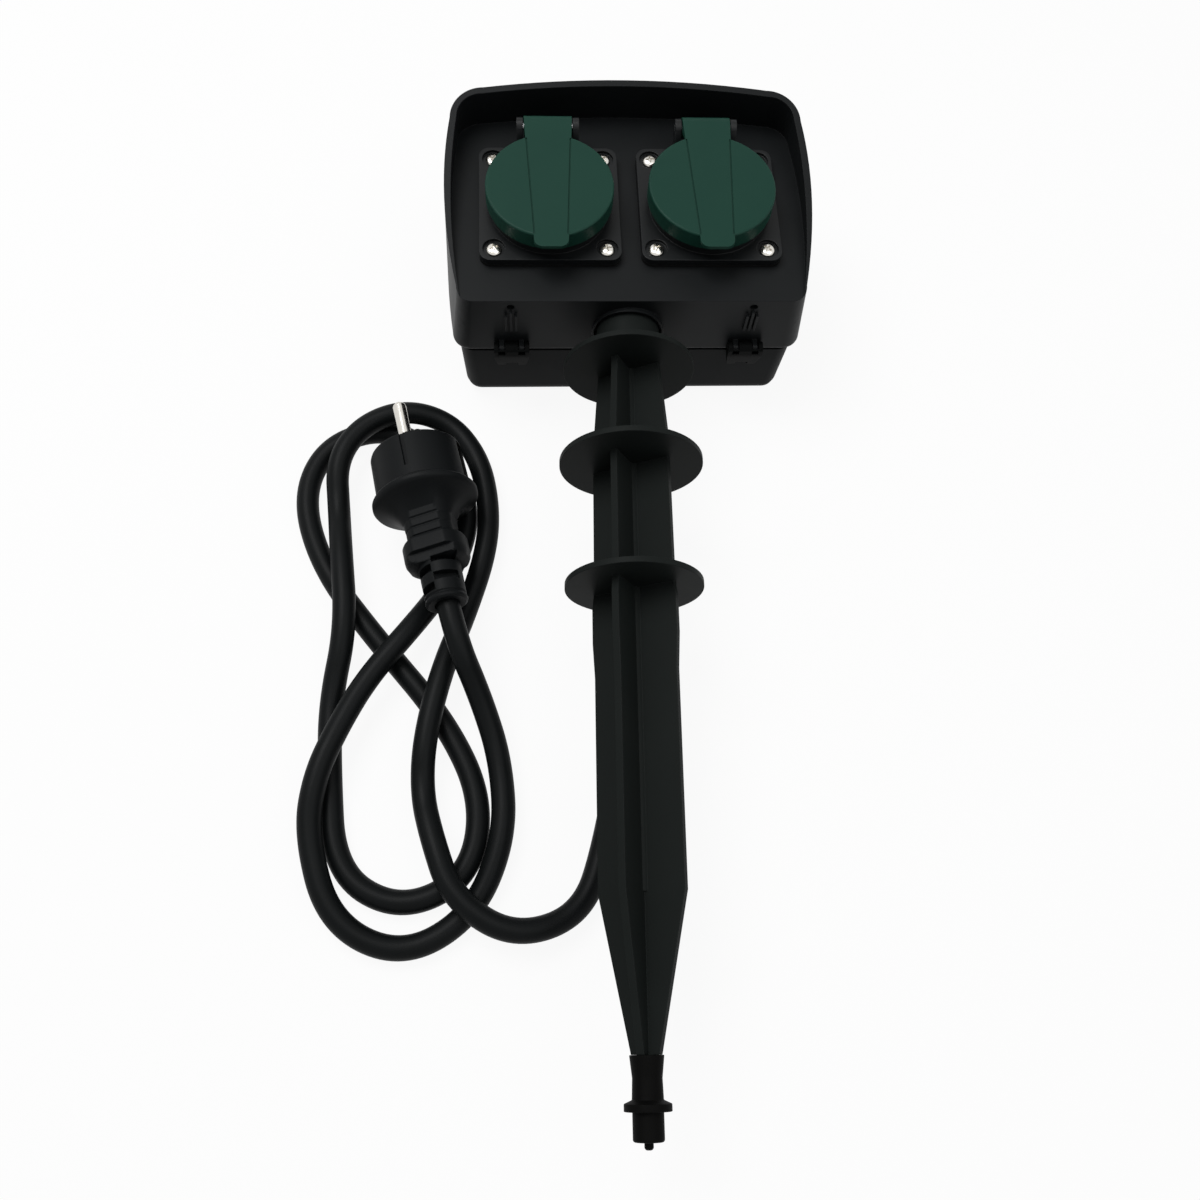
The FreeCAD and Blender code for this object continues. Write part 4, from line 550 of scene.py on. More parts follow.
def soften(shape: Shape, radius_mm: float, sharp_deg: float = 30.0, segments: int = 2) -> None:
    """Rounds every edge that turns more than an angle, as a mould does.

    Args:
        shape: The mesh.
        radius_mm: The width of the rounding.
        sharp_deg: The least angle that is rounded.
        segments: The faces across the rounding.
    """
    limit = math.radians(sharp_deg)
    sharp = [e for e in shape.edges if e.is_manifold and e.calc_face_angle(0.0) > limit]
    bmesh.ops.bevel(
        shape,
        geom=sharp,
        offset=radius_mm * MM,
        offset_type="OFFSET",
        segments=segments,
        profile=0.5,
        affect="EDGES",
        clamp_overlap=True,
        material=-1,
    )


@dataclass(frozen=True)
class SoftenedNode:
    """A CAD node shown as a merged copy whose sharp edges are rounded as a mould rounds them."""

    node: str
    slot: str
    radius_mm: float
    sharp_deg: float = 30.0
    segments: int = 2
    smooth_deg: float = 38.0

    def make(self, frame: dict[str, Any]) -> bpy.types.Object:
        """Copies, merges and bevels the node's mesh.


        Returns:
            The new piece, which replaces the node.
        """
        source = frame["nodes"][self.node]
        shape = bmesh.new()
        shape.from_mesh(source.data)
        bmesh.ops.remove_doubles(shape, verts=shape.verts, dist=MERGE_DISTANCE)
        bmesh.ops.dissolve_limit(
            shape,
            angle_limit=math.radians(FLAT_DEG),
            verts=shape.verts,
            edges=shape.edges,
            use_dissolve_boundaries=False,
        )
        soften(shape, self.radius_mm, self.sharp_deg, self.segments)
        return finish_piece(
            self.node + "_dressed", shape, self.slot, source["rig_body"], [self.node], self.smooth_deg
        )


# The outer pieces of the CAD that show rounded edges
SOFTENED_NODES = (
    SoftenedNode("front_housing", "housing_black", 0.35),
    SoftenedNode("rear_cover", "cover_black", 0.3),
    SoftenedNode("socket_flange_left", "flange_black", 0.25),
    SoftenedNode("socket_flange_right", "flange_black", 0.25),
    SoftenedNode("lid_left", "lid_green", 0.2),
    SoftenedNode("lid_right", "lid_green", 0.2),
    SoftenedNode("latch_left", "latch_black", 0.2),
    SoftenedNode("latch_right", "latch_black", 0.2),
    SoftenedNode("spike", "spike_black", 0.3),
    SoftenedNode("tip_cap", "cap_dark", 0.2),
    SoftenedNode("cord_gland", "plug_rubber", 0.2),
)


def dress_nodes(frame: dict[str, Any]) -> None:
    """Gives every CAD node the finish of its material slot.
    """
    for part in frame["record"]["subparts"]:
        node = frame["nodes"][part["node"]]
        node.data.materials.clear()
        node.data.materials.append(SLOT_FINISH[part["material_slot"]].material())


@dataclass(frozen=True)
class Lamp:
    """One soft square lamp: its place, the side of its square and its power in watts."""

    name: str
    place: Point
    size: float
    watts: float

    def build(self, target: Point) -> None:
        """Adds the lamp to the scene.

        Args:
            target: The point that it faces.
        """
        data = bpy.data.lights.new(self.name, "AREA")
        data.shape = "SQUARE"
        data.size = self.size
        data.energy = self.watts
        lamp = bpy.data.objects.new(self.name, data)
        aim = Vector(target) - Vector(self.place)
        turn = aim.to_track_quat("-Z", "Y").to_matrix().to_4x4()
        lamp.matrix_world = Matrix.Translation(self.place) @ turn
        link(lamp)


@dataclass(frozen=True)
class Studio:
    """The camera at the photograph's angle, a plain pale floor and soft lamps."""

    # The camera, fitted to the photograph: angles in radians, the focal length in the photograph's pixels
    camera_place: Point = (-0.03971, -0.28228, 0.38285)
    yaw: float = -0.0712889
    pitch: float = 0.3746528
    roll: float = -0.0442902
    focal_pixels: float = 1123.2652
    frame_pixels: float = 1200.0
    sensor_mm: float = 36.0
    clip_start: float = 0.01
    clip_end: float = 50.0
    # The floor, the room and the lamps
    floor_size: float = 12.0
    floor_glow: float = 0.92
    room_strength: float = 0.25
    lamp_target: Point = (0, -0.1, 0.03)
    lamps: tuple[Lamp, ...] = (
        Lamp("key_lamp", (-0.40, 0.20, 1.05), 0.6, 9.5),
        Lamp("fill_lamp", (0.50, -0.30, 1.2), 0.9, 4.0),
    )

    def set_camera(self) -> None:
        """Makes the scene's camera."""
        data = bpy.data.cameras.new("photo_camera")
        data.sensor_width = self.sensor_mm
        data.lens = self.focal_pixels / self.frame_pixels * self.sensor_mm
        data.clip_start = self.clip_start
        data.clip_end = self.clip_end
        camera = bpy.data.objects.new("photo_camera", data)
        turn = Matrix.Rotation(self.yaw, 4, "Y") @ Matrix.Rotation(self.pitch, 4, "X")
        turn = turn @ Matrix.Rotation(self.roll, 4, "Z")
        camera.matrix_world = Matrix.Translation(self.camera_place) @ turn
        link(camera)
        bpy.context.scene.camera = camera

    @staticmethod
    def seen_share(tree: bpy.types.NodeTree) -> bpy.types.NodeSocket:
        """A value of 1 where the camera, a gloss or a clear body sees the studio.

        Args:
            tree: The tree of the floor's or the world's material.

        Returns:
            The socket that carries the value.
        """
        light_path = add_node(tree, "ShaderNodeLightPath").outputs
        gloss = add_node(
            tree,
            "ShaderNodeMath",
            links={0: light_path["Is Glossy Ray"], 1: light_path["Is Transmission Ray"]},
            operation="MAXIMUM",
        ).outputs["Value"]
        return add_node(
            tree, "ShaderNodeMath", links={0: light_path["Is Camera Ray"], 1: gloss}, operation="MAXIMUM"
        ).outputs["Value"]

    def add_floor(self) -> None:
        """Lays the pale floor, white to the camera where no shadow falls."""
        shape = bmesh.new()
        bmesh.ops.create_grid(shape, x_segments=1, y_segments=1, size=self.floor_size / 2)
        mesh = to_mesh("studio_floor", shape)
        material, tree = empty_material("paper_matt_white")
        paper = add_node(tree, "ShaderNodeBsdfDiffuse", {"Color": linear("#E4E4E4")}).outputs["BSDF"]
        glow = add_node(tree, "ShaderNodeEmission", {"Color": linear("#FFFFFF"), "Strength": 1.0})
        share = add_node(
            tree, "ShaderNodeMath", {1: self.floor_glow}, {0: self.seen_share(tree)}, operation="MULTIPLY"
        ).outputs["Value"]
        mixed = add_node(tree, "ShaderNodeMixShader", links={0: share, 1: paper, 2: glow.outputs["Emission"]})
        add_node(tree, "ShaderNodeOutputMaterial", links={"Surface": mixed.outputs["Shader"]})
        mesh.materials.append(material)
        floor = bpy.data.objects.new("studio_floor", mesh)
        link(floor)

    def light_world(self) -> None:
        """A dim grey room that the camera sees as white."""
        world = bpy.data.worlds.new("studio_room")
        world.use_nodes = True
        tree = world.node_tree
        tree.nodes.clear()
        room = add_node(
            tree, "ShaderNodeBackground", {"Color": linear("#FFFFFF"), "Strength": self.room_strength}
        )
        white = add_node(tree, "ShaderNodeBackground", {"Color": linear("#FFFFFF"), "Strength": 1.0})
        mixed = add_node(
            tree,
            "ShaderNodeMixShader",
            links={0: self.seen_share(tree), 1: room.outputs["Background"], 2: white.outputs["Background"]},
        )
        add_node(tree, "ShaderNodeOutputWorld", links={"Surface": mixed.outputs["Shader"]})
        bpy.context.scene.world = world

    def build(self) -> None:
        """Sets up the whole studio."""
        self.set_camera()
        for lamp in self.lamps:
            lamp.build(self.lamp_target)
        self.add_floor()
        self.light_world()
        bpy.context.scene.view_settings.view_transform = "Standard"


@dataclass(frozen=True)
class Plug:
    """The moulded two-pin plug: slotted strain relief, knob with two flats, ribbed neck, flange and front.

    Distances run from the relief's end along the plug's own axis, +Y before it is placed. Angles turn about
    that axis from straight up, clockwise as the pins point away. All in millimetres and degrees.
    """

    # Where it lies
    end: Point = (-66.1, -142.0, 25.3)
    turn_deg: float = 11.5
    pitch_deg: float = 4.0
    pin_tilt_deg: float = -13.5
    # The strain relief and its slots
    relief_length: float = 17.0
    relief_radius: float = 7.4
    cord_bore: float = 4.1
    slot_turns_deg: tuple[float, float] = (-60.0, 16.0)
    slot_rows: tuple[float, ...] = (4.9, 8.3, 11.8, 15.2)
    slot_height: float = 2.9
    slot_half_width: float = 4.3
    slot_web: float = 0.15
    top_slot_rise: float = 0.5
    top_slot_reach: float = 2.6
    # The flange and the front, with the guide grooves
    flange_start: float = 39.9
    length: float = 61.6
    front_radius: float = 16.4
    guide_half_width: float = 0.75
    guide_depth: float = 1.3
    guide_from_flange: float = 7.9
    # The earth contacts and their seats
    earth_half_width: float = 3.2
    earth_depth: float = 2.2
    earth_from_flange: float = 5.2
    earth_from_front: float = 1.6
    earth_side_play: float = 0.2
    earth_play: float = 0.3
    earth_bow: float = 0.5
    earth_thickness: float = 0.6
    # The pins
    pin_spacing: float = 19.0
    pin_radius: float = 2.4
    pin_length: float = 16.6
    pin_root: float = 6.0
    # How far a cutter reaches past the surface, the rounding of the cut edges, and the steps round each form
    cut_overrun: float = 4.0
    body_rounding: float = 0.22
    relief_rounding: float = 0.15
    sharp_deg: float = 40.0
    segments: int = 120
    relief_segments: int = 96
    pin_segments: int = 48

    def stations(self) -> list[tuple[float, float, float, float]]:
        """The body's sections: distance, and how far its round part, its two flats and its sides reach."""
        knob = self.relief_length
        start = self.flange_start
        front = self.front_radius
        grip = [
            (knob - 2.6, 7.2, 7.2, 7.2),
            (knob - 2.2, 9.4, 7.5, 9.2),
            (knob - 1.5, 10.7, 7.6, 10.5),
            (knob - 0.5, 11.2, 7.7, 11.0),
            (knob + 1.2, 11.4, 7.8, 11.2),
            (knob + 1.5, 11.4, 9.7, 11.2),
            (knob + 6.0, 11.4, 9.8, 11.2),
            (knob + 6.7, 11.0, 9.5, 10.8),
            (knob + 7.3, 9.9, 8.4, 9.4),
        ]
        neck = [
            (knob + 7.8, 9.2, 7.4, 8.4),
            (knob + 8.2, 9.1, 7.3, 8.3),
            (knob + 8.5, 9.3, 7.9, 8.3),
            (knob + 10.9, 9.3, 7.9, 8.3),
            (knob + 11.2, 9.2, 7.4, 8.3),
            (knob + 11.7, 9.2, 7.4, 8.3),
            (knob + 12.0, 9.4, 8.0, 8.4),
            (knob + 14.4, 9.5, 8.1, 8.7),
            (knob + 14.7, 9.4, 7.6, 8.8),
            (knob + 15.2, 9.5, 7.7, 8.9),
            (knob + 15.5, 9.7, 8.3, 9.1),
            (knob + 17.6, 10.6, 8.8, 10.4),
            (start - 3.0, 12.4, 11.2, 12.4),
            (start - 1.2, 14.8, 14.6, 14.8),
        ]
        turned = [
            (start, 17.6),
            (start + 0.5, 18.4),
            (start + 1.2, 18.8),
            (start + 2.2, 18.8),
            (start + 2.9, 18.3),
            (start + 3.5, 17.2),
            (start + 4.2, 16.7),
            (self.length - 1.2, front),
            (self.length - 0.4, front - 0.3),
            (self.length, front - 1.2),
        ]
        return [*grip, *neck, *((along, radius, radius, radius) for along, radius in turned)]

    def placed(self, shape: Shape) -> Shape:
        """Moves a mesh from the plug's own frame to where the plug lies.

        Args:
            shape: The mesh, about +Y.

        Returns:
            The same mesh in the CAD's frame.
        """
        turn = Matrix.Rotation(math.radians(self.turn_deg), 4, "Z")
        pitch = Matrix.Rotation(math.radians(-self.pitch_deg), 4, "X")
        matrix = Matrix.Translation(Vector(self.end) * MM) @ turn @ pitch
        bmesh.ops.transform(shape, matrix=matrix, verts=shape.verts)
        return shape

    @staticmethod
    def around(angle_deg: float) -> Matrix:
        """The turn about the plug's own axis."""
        return Matrix.Rotation(math.radians(angle_deg), 4, "Y")

    @staticmethod
    def radius_at(angle: float, reach: float, flat: float, side: float) -> float:
        """The radius of a section at an angle from its flat's middle.

        Args:
            angle: The angle, in radians.
            reach: The radius of the round part.
            flat: How far the two flats are from the axis.
            side: How far the two sides are from the axis.

        Returns:
            The least of the three at that angle.
        """
        across = max(abs(math.cos(angle)), LEAST_SHARE)
        along = max(abs(math.sin(angle)), LEAST_SHARE)
        return min(reach, flat / across, side / along)

    def build_body(self) -> bpy.types.Object:
        """Knob, ribbed neck, flange and front, with guide grooves and the earth contacts' seats."""
        shape = bmesh.new()
        tilt = math.radians(self.pin_tilt_deg)
        upright = Matrix.Rotation(math.radians(-90), 4, "X")
        ring = bmesh.ops.create_circle(shape, segments=self.segments, radius=MM, matrix=upright)["verts"]
        edges = list(shape.edges)
        for number, (along, reach, flat, sideways) in enumerate(self.stations()):
            if number:
                grown = bmesh.ops.extrude_edge_only(shape, edges=edges)["geom"]
                ring = [g for g in grown if isinstance(g, bmesh.types.BMVert)]
                edges = [g for g in grown if isinstance(g, bmesh.types.BMEdge)]
            for vert in ring:
                angle = math.atan2(vert.co.x, vert.co.z)
                radius = self.radius_at(angle - tilt, reach, flat, sideways)
                vert.co = Vector((radius * math.sin(angle), along, radius * math.cos(angle))) * MM
        bmesh.ops.holes_fill(shape, edges=[e for e in shape.edges if e.is_boundary], sides=0)
        bmesh.ops.recalc_face_normals(shape, faces=shape.faces)
        guide_start = self.flange_start + self.guide_from_flange
        past_front = self.front_radius + self.cut_overrun
        top_slot = self.slot_rows[-1]
        slot_reach = self.relief_radius + self.top_slot_reach
        earth_start = self.flange_start + self.earth_from_flange
        seat_half_width = self.earth_half_width + self.earth_side_play
        cutter = bmesh.new()
        for half_turn in (0, 180):
            place_block(
                cutter,
                (-self.guide_half_width, guide_start, self.front_radius - self.guide_depth),
                (self.guide_half_width, self.length + self.cut_overrun, past_front),
                self.around(self.pin_tilt_deg + half_turn),
            )
            place_block(
                cutter,
                (-self.slot_half_width, top_slot - self.slot_height / 2, self.cord_bore + self.slot_web),
                (self.slot_half_width, top_slot + self.top_slot_rise, slot_reach),
                self.around(self.slot_turns_deg[1] + half_turn),
            )
            place_block(
                cutter,
                (-seat_half_width, earth_start, self.front_radius - self.earth_depth),
                (seat_half_width, self.length - self.earth_from_front, past_front),
                self.around(self.pin_tilt_deg + 90 + half_turn),
            )
        shape = carve(shape, cutter)
        soften(shape, self.body_rounding, self.sharp_deg)
        return finish_piece("plug_body_dressed", self.placed(shape), "plug_rubber", HOUSING, ["plug_body"])

    def build_relief(self) -> bpy.types.Object:
        """The tapering sleeve round the cord, with its end bead and its four rows of slots."""
        shape = bmesh.new()
        bore = self.cord_bore
        wide = self.relief_radius
        end = self.relief_length
        profile = [
            (0.3, bore), (0, bore + 0.5), (0, wide - 0.9), (0.5, wide - 0.2), (1.1, wide), (1.7, wide - 0.2),
            (2.1, wide - 0.7), (2.5, wide - 0.7), (2.9, wide - 0.2), (end - 0.5, wide), (end - 0.5, bore),
            (0.3, bore),
        ]
        lathe(shape, profile, Y_AXIS, Z_AXIS, self.relief_segments)
        cutter = bmesh.new()
        for row, middle in enumerate(self.slot_rows):
            for half_turn in (0, 180):
                place_block(
                    cutter,
                    (-self.slot_half_width, middle - self.slot_height / 2, bore + self.slot_web),
                    (self.slot_half_width, middle + self.slot_height / 2, wide + self.cut_overrun),
                    self.around(self.slot_turns_deg[row % 2] + half_turn),
                )
        shape = self.placed(carve(shape, cutter))
        soften(shape, self.relief_rounding, self.sharp_deg)
        return finish_piece("plug_relief_dressed", shape, "plug_rubber", HOUSING, ["plug_relief"])

    def build_pins(self) -> bpy.types.Object:
        """The two turned pins with their rounded ends."""
        shape = bmesh.new()
        radius = self.pin_radius
        tip = self.length + self.pin_length
        root = self.length - self.pin_root
        profile = [
            (root, 0), (root, radius), (tip - 1.7, radius), (tip - 1.0, radius - 0.2),
            (tip - 0.45, radius - 0.65), (tip - 0.12, radius - 1.25), (tip, radius - 1.8), (tip, 0),
        ]
        lathe(shape, profile, Y_AXIS, X_AXIS, self.pin_segments)
        bmesh.ops.translate(shape, vec=Z_AXIS * (self.pin_spacing / 2 * MM), verts=shape.verts)
        other = bmesh.ops.duplicate(shape, geom=[*shape.verts, *shape.edges, *shape.faces])["geom"]
        turned = [g for g in other if isinstance(g, bmesh.types.BMVert)]
        bmesh.ops.rotate(shape, cent=(0, 0, 0), matrix=self.around(180), verts=turned)
        bmesh.ops.rotate(shape, cent=(0, 0, 0), matrix=self.around(self.pin_tilt_deg), verts=shape.verts)
        return finish_piece("plug_pins_dressed", self.placed(shape), "nickel", HOUSING, ["plug_pins"])

    def build_earths(self) -> bpy.types.Object:
        """The two sprung earth strips in their seats, bowed a little outwards."""
        shape = bmesh.new()
        start = self.flange_start + self.earth_from_flange + self.earth_play
        end = self.length - self.earth_from_front - self.earth_play
        seat = self.front_radius - self.earth_depth + self.earth_play
        for half_turn in (0, 180):
            strip = bmesh.ops.create_grid(shape, x_segments=2, y_segments=12, size=0.5)["verts"]
            for vert in strip:
                along = vert.co.y + 0.5
                bow = self.earth_bow * math.sin(math.pi * along)
                across = 2 * self.earth_half_width * vert.co.x
                vert.co = Vector((across, start + (end - start) * along, seat + bow)) * MM
            bmesh.ops.rotate(
                shape, cent=(0, 0, 0), matrix=self.around(self.pin_tilt_deg + 90 + half_turn), verts=strip
            )
        bmesh.ops.recalc_face_normals(shape, faces=shape.faces)
        bmesh.ops.solidify(shape, geom=list(shape.faces), thickness=self.earth_thickness * MM)
        return finish_piece("plug_earths_dressed", self.placed(shape), "brass", HOUSING, ["plug_earths"])

    def build(self) -> list[bpy.types.Object]:
        """Makes the plug's four pieces."""
        return [self.build_relief(), self.build_body(), self.build_pins(), self.build_earths()]


@dataclass(frozen=True)
class FlangeScrews:
    """The four pan-head screws of a socket, each stopped at its own turn. In millimetres and degrees."""

    side: Side
    turns_deg: tuple[float, float, float, float]
    socket_x: float = 28.6
    socket_y: float = -2.7
    half_pitch: float = 19.9
    seat_z: float = 60.4
    head_radius: float = 2.7
    shank_radius: float = 1.4
    shank_end_z: float = 52.2
    cross_reach: float = 1.55
    cross_half_width: float = 0.34
    cross_floor: float = 0.55
    cross_top: float = 3.0
    rounding: float = 0.07
    sharp_deg: float = 50.0
    segments: int = 40

    def build(self) -> bpy.types.Object:
        """Turns, carves and places the screws."""
        whole = bmesh.new()
        head = self.head_radius
        shank_end = self.shank_end_z - self.seat_z
        profile = [
            (shank_end, 0), (shank_end, self.shank_radius * 0.7), (shank_end + 1, self.shank_radius),
            (0, self.shank_radius), (0, head - 0.1), (0.15, head), (0.55, head), (0.95, head - 0.3),
            (1.25, head - 0.8), (1.45, head - 1.5), (1.5, 0),
        ]
        places = [(sx, sy) for sx in (-1, 1) for sy in (-1, 1)]
        for (sx, sy), turn_deg in zip(places, self.turns_deg, strict=True):
            screw = bmesh.new()
            lathe(screw, profile, Z_AXIS, X_AXIS, self.segments)
            cutter = bmesh.new()
            for quarter in (0, 90):
                turn = Matrix.Rotation(math.radians(turn_deg + quarter), 4, "Z")
                place_block(
                    cutter,
                    (-self.cross_reach, -self.cross_half_width, self.cross_floor),
                    (self.cross_reach, self.cross_half_width, self.cross_top),
                    turn,
                )
            screw = carve(screw, cutter)
            soften(screw, self.rounding, self.sharp_deg, segments=1)
            x = self.side.value * self.socket_x + sx * self.half_pitch
            place = Vector((x, self.socket_y + sy * self.half_pitch, self.seat_z))
            bmesh.ops.translate(screw, vec=place * MM, verts=screw.verts)
            mesh = to_mesh("one_screw", screw)
            whole.from_mesh(mesh)
            bpy.data.meshes.remove(mesh)
        node = "flange_screws_" + self.side.word
        return finish_piece(node + "_dressed", whole, "nickel", HOUSING, [node])


# Where each screw's cross came to rest, in degrees
SCREW_TURNS_DEG = {Side.LEFT: (22, 64, 12, 41), Side.RIGHT: (35, 8, 52, 27)}


@dataclass(frozen=True)
class LidSpring:
    """A lid's closing spring: a closed coil of round wire on the hinge pin. In millimetres."""

    side: Side
    socket_x: float = 28.6
    hinge_y: float = 25.3
    hinge_z: float = 68.6
    coil_radius: float = 2.15
    wire_radius: float = 0.38
    length: float = 5.6
    turns: int = 6
    steps_per_turn: int = 28
    wire_steps: int = 10

    def build(self) -> bpy.types.Object:
        """Screws a small circle round the pin."""
        shape = bmesh.new()
        run = self.length - 2 * self.wire_radius
        left_end = self.side.value * self.socket_x - run / 2
        place = Matrix.Translation(Vector((left_end, self.hinge_y + self.coil_radius, self.hinge_z)) * MM)
        bmesh.ops.create_circle(shape, segments=self.wire_steps, radius=self.wire_radius * MM, matrix=place)
        steps = self.turns * self.steps_per_turn
        bmesh.ops.spin(
            shape,
            geom=[*shape.verts, *shape.edges],
            cent=Vector((left_end, self.hinge_y, self.hinge_z)) * MM,
            axis=X_AXIS,
            dvec=X_AXIS * (run / steps * MM),
            angle=math.tau * self.turns,
            steps=steps,
        )
        bmesh.ops.holes_fill(shape, edges=[e for e in shape.edges if e.is_boundary], sides=0)
        bmesh.ops.recalc_face_normals(shape, faces=shape.faces)
        node = "lid_spring_" + self.side.word
        return finish_piece(node + "_dressed", shape, "steel", HOUSING, [node], smooth_deg=60.0)


@dataclass(frozen=True)
class DialNumbers:
    """The hours and their ticks that are stamped on the back of the timer's dial. In millimetres."""

    centre_y: float = 5.7
    face_z: float = 8.6
    number_radius: float = 17.6
    tick_radius: float = 20.6
    tick_half_length: float = 0.9
    tick_half_widths: tuple[float, float] = (0.25, 0.15)
    text_size: float = 3.4
    depth: float = 0.05
    hours: int = 24

    def build(self, body: str) -> bpy.types.Object:
        """Stamps every second hour as a number and every hour as a tick.

        Args:
            body: The CAD body of the dial.

        Returns:
            The piece with all the marks.
        """
        shape = bmesh.new()
        centre = Matrix.Translation((0, self.centre_y * MM, self.face_z * MM))
        facing_back = centre @ Matrix.Rotation(math.pi, 4, "Y")
        for hour in range(self.hours):
            turn = facing_back @ Matrix.Rotation(-math.tau * hour / self.hours, 4, "Z")
            half = self.tick_half_widths[hour % 2]
            place_block(
                shape,
                (-half, self.tick_radius - self.tick_half_length, -self.depth),
                (half, self.tick_radius + self.tick_half_length, self.depth),
                turn,
            )
            if hour % 2 == 0:
                self.add_number(shape, str(hour), turn @ Matrix.Translation((0, self.number_radius * MM, 0)))
        return finish_piece("timer_dial_numbers", shape, "housing_black", body)

    def add_number(self, shape: Shape, words: str, place: Matrix) -> None:
        """Adds one number as a thin raised mesh.

        Args:
            shape: The mesh that gets it.
            words: The digits.
            place: Where the number's middle goes.
        """
        text = bpy.data.curves.new("dial_number", "FONT")
        text.body = words
        text.size = self.text_size * MM
        text.align_x = "CENTER"
        text.align_y = "CENTER"
        text.extrude = self.depth * MM
        carrier = bpy.data.objects.new("dial_number", text)
        link(carrier)
        mesh = bpy.data.meshes.new_from_object(carrier.evaluated_get(bpy.context.evaluated_depsgraph_get()))
        mesh.transform(place)
        shape.from_mesh(mesh)
        bpy.data.meshes.remove(mesh)
        bpy.data.objects.remove(carrier)
        bpy.data.curves.remove(text)


@dataclass(frozen=True)
class RoundLines:
    """Round wires or cords along smooth lines: their radius in metres, their steps and their finishes."""

    radius: float
    round_steps: int
    along_steps: int
    finishes: tuple[Moulding, ...]

    def lay(self, name: str, routes: Iterable[Sequence[Point]], slot: str, node: str) -> bpy.types.Object:
        """Lays the lines as one piece that rides on the housing.

        Args:
            name: The piece's name.
            routes: The points of each line, one line for each finish.
            slot: The record's material slot; not used.
            node: The CAD node that it stands for.

        Returns:
            The piece.
        """
        curve = bpy.data.curves.new(name, "CURVE")
        curve.dimensions = "3D"
        curve.bevel_depth = self.radius
        curve.bevel_resolution = self.round_steps
        curve.resolution_u = self.along_steps
        curve.use_fill_caps = True
        for number, (points, finish) in enumerate(zip(routes, self.finishes, strict=True)):
            curve.materials.append(finish.material())
            line = curve.splines.new("NURBS")
            line.points.add(len(points) - 1)
            for point, place in zip(line.points, points, strict=True):
                point.co = (*place, 1.0)
            line.order_u = 3
            line.use_endpoint_u = True
            line.material_index = number
        piece = bpy.data.objects.new(name, curve)
        enter(piece, HOUSING, [node])
        LOG.info("laid %s", name)
        return piece


@dataclass(frozen=True)
class HouseWiring:
    """The three insulated wires inside the housing: brown, blue and green. In millimetres."""

    wire_radius: float = 1.1
    cord_x: float = -2.0
    cord_end_y: float = -25.6
    turn_y: float = -22.1
    end_y: float = -29.0
    end_z: float = 36.5
    levels: tuple[float, ...] = (9.6, 12.0, 14.4)
    xs: tuple[float, ...] = (-46.0, -43.0, -40.0)
    link_reach: float = 22.6
    link_z: float = 34.3
    link_ys: tuple[float, ...] = (-8.9, -3.9, 1.1)
    round_steps: int = 4
    along_steps: int = 10

    def lay(self, node: str, routes: list[list[Point]]) -> None:
        """Lays the three wires that stand for one CAD node.

        Args:
            node: The CAD node.
            routes: The points of each wire, in millimetres.
        """
        in_metres = [[tuple(v * MM for v in point) for point in route] for route in routes]
        finishes = (WIRE_BLUE, WIRE_BROWN, WIRE_GREEN)
        lines = RoundLines(self.wire_radius * MM, self.round_steps, self.along_steps, finishes)
        lines.lay(node + "_dressed", in_metres, "wire_blue", node)

    def build(self) -> None:
        """Lays the supply wires and the links between the sockets."""
        supply = []
        for x, level in zip(self.xs, self.levels, strict=True):
            supply.append([
                (self.cord_x, self.cord_end_y, level),
                (self.cord_x, self.turn_y, level),
                (x, self.turn_y, level),
                (x, self.turn_y, self.end_z),
                (x, self.end_y, self.end_z),
            ])
        self.lay("supply_wires", supply)
        links = [
            [(-self.link_reach, y, self.link_z), (0, y, self.link_z), (self.link_reach, y, self.link_z)]
            for y in self.link_ys
        ]
        self.lay("link_wires", links)


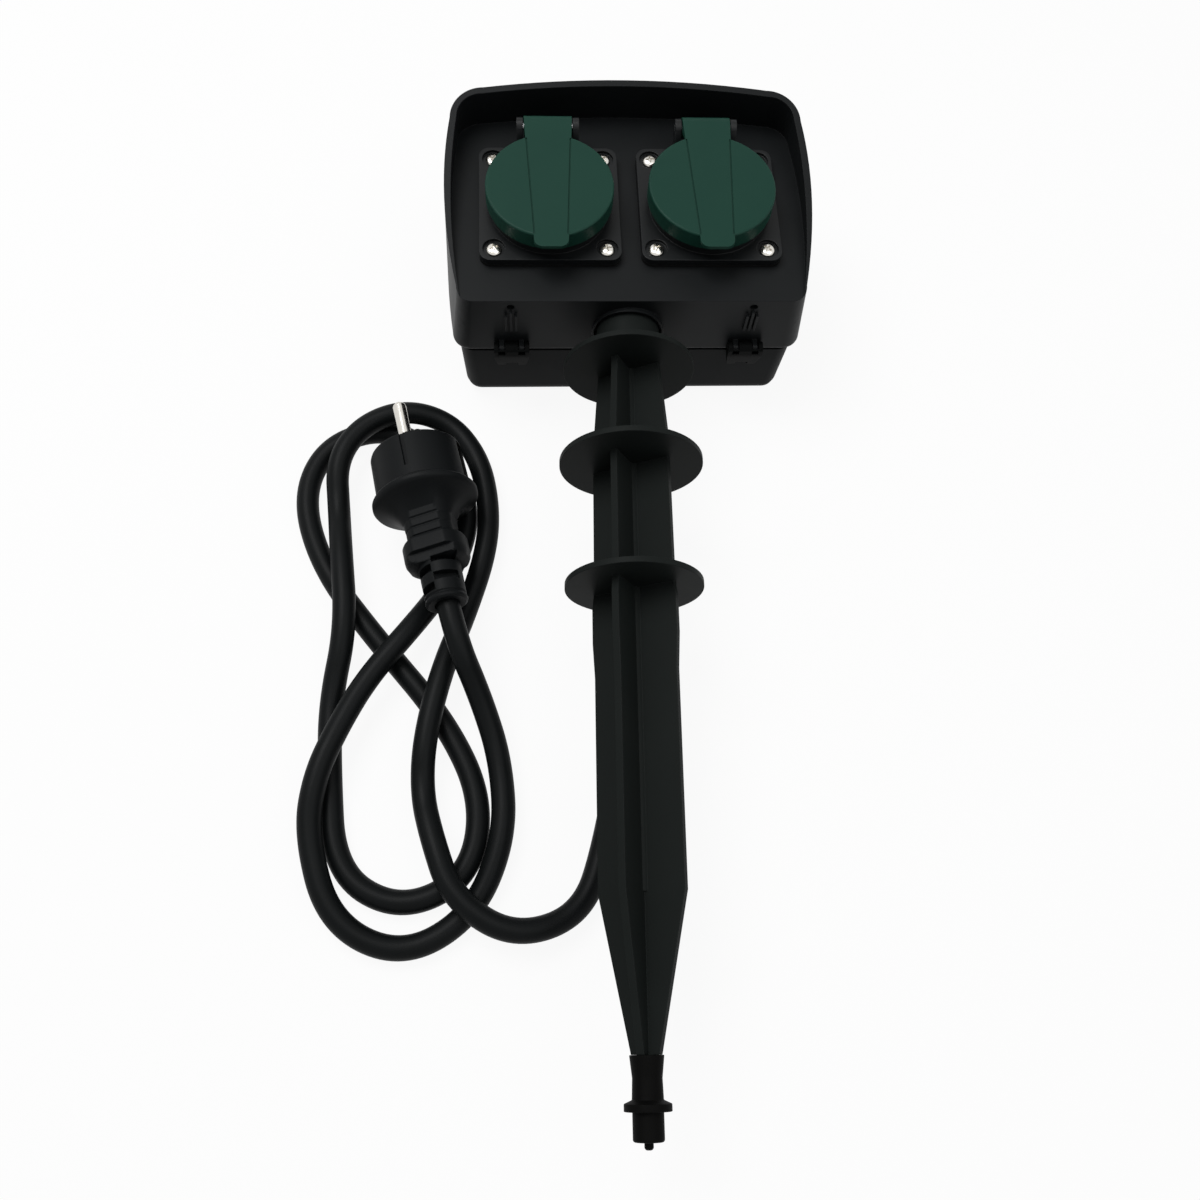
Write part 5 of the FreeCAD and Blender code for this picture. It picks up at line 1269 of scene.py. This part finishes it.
@dataclass(frozen=True)
class FreeCord:
    """The free cord from the gland to the plug, along the points of the CAD's route."""

    diameter: float = 0.0081
    length: float = 1.2894
    exit_point: Point = (-0.002, -0.0257, 0.012)
    round_steps: int = 7
    along_steps: int = 14
    route: tuple[Point, ...] = (
        (-0.0020, -0.0257, 0.0120), (-0.0020, -0.0978, 0.0120), (-0.0043, -0.1723, 0.0041),
        (-0.0145, -0.2204, 0.0041), (-0.0232, -0.2437, 0.0068), (-0.0455, -0.2506, 0.0118),
        (-0.0649, -0.2376, 0.0131), (-0.0716, -0.2177, 0.0127), (-0.0754, -0.2021, 0.0080),
        (-0.0743, -0.1845, 0.0127), (-0.0686, -0.1603, 0.0125), (-0.0609, -0.1373, 0.0056),
        (-0.0535, -0.1142, 0.0068), (-0.0524, -0.0958, 0.0072), (-0.0560, -0.0765, 0.0078),
        (-0.0665, -0.0614, 0.0084), (-0.0829, -0.0576, 0.0125), (-0.0992, -0.0644, 0.0128),
        (-0.1082, -0.0791, 0.0127), (-0.1072, -0.0979, 0.0070), (-0.1049, -0.1153, 0.0127),
        (-0.1020, -0.1445, 0.0127), (-0.1076, -0.1688, 0.0041), (-0.1069, -0.1922, 0.0041),
        (-0.1038, -0.2270, 0.0041), (-0.0825, -0.2402, 0.0041), (-0.0600, -0.2306, 0.0041),
        (-0.0551, -0.2053, 0.0041), (-0.0678, -0.1772, 0.0041), (-0.0922, -0.1470, 0.0041),
        (-0.1132, -0.1183, 0.0041), (-0.1217, -0.0885, 0.0041), (-0.1122, -0.0669, 0.0041),
        (-0.0893, -0.0606, 0.0041), (-0.0660, -0.0762, 0.0041), (-0.0588, -0.1016, 0.0041),
        (-0.0694, -0.1276, 0.0041), (-0.0788, -0.1447, 0.0129), (-0.0937, -0.1628, 0.0127),
        (-0.1029, -0.1796, 0.0127), (-0.1100, -0.1964, 0.0126), (-0.1125, -0.2149, 0.0098),
        (-0.1043, -0.2432, 0.0074), (-0.0813, -0.2547, 0.0046), (-0.0585, -0.2425, 0.0041),
        (-0.0477, -0.2178, 0.0072), (-0.0490, -0.1920, 0.0070), (-0.0556, -0.1709, 0.0126),
        (-0.06379, -0.15334, 0.02611), (-0.06912, -0.12714, 0.02424),
    )

    def build(self, on_it: list[bpy.types.Object]) -> bpy.types.Object:
        """Lays the cord as one smooth curve.

        Args:
            on_it: The separate pieces at its far end; not used.

        Returns:
            The cord's object.
        """
        line = RoundLines(self.diameter / 2, self.round_steps, self.along_steps, (CORD_RUBBER,))
        cord = line.lay("cord_sheath", [self.route], "cord_rubber", "cord")
        return cord


def main() -> None:
    """Builds the studio and every sub-assembly in order."""
    logging.basicConfig(level=logging.INFO, format="%(name)s: %(message)s")
    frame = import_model()
    Studio().build()
    dress_nodes(frame)
    FreeCord().build(Plug().build())
    for side, turns_deg in SCREW_TURNS_DEG.items():
        FlangeScrews(side, turns_deg).build()
    for side in Side:
        LidSpring(side).build()
    DialNumbers().build(frame["nodes"]["timer_dial"]["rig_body"])
    HouseWiring().build()
    for softened in SOFTENED_NODES:
        softened.make(frame)


if __name__ == "__main__":
    main()
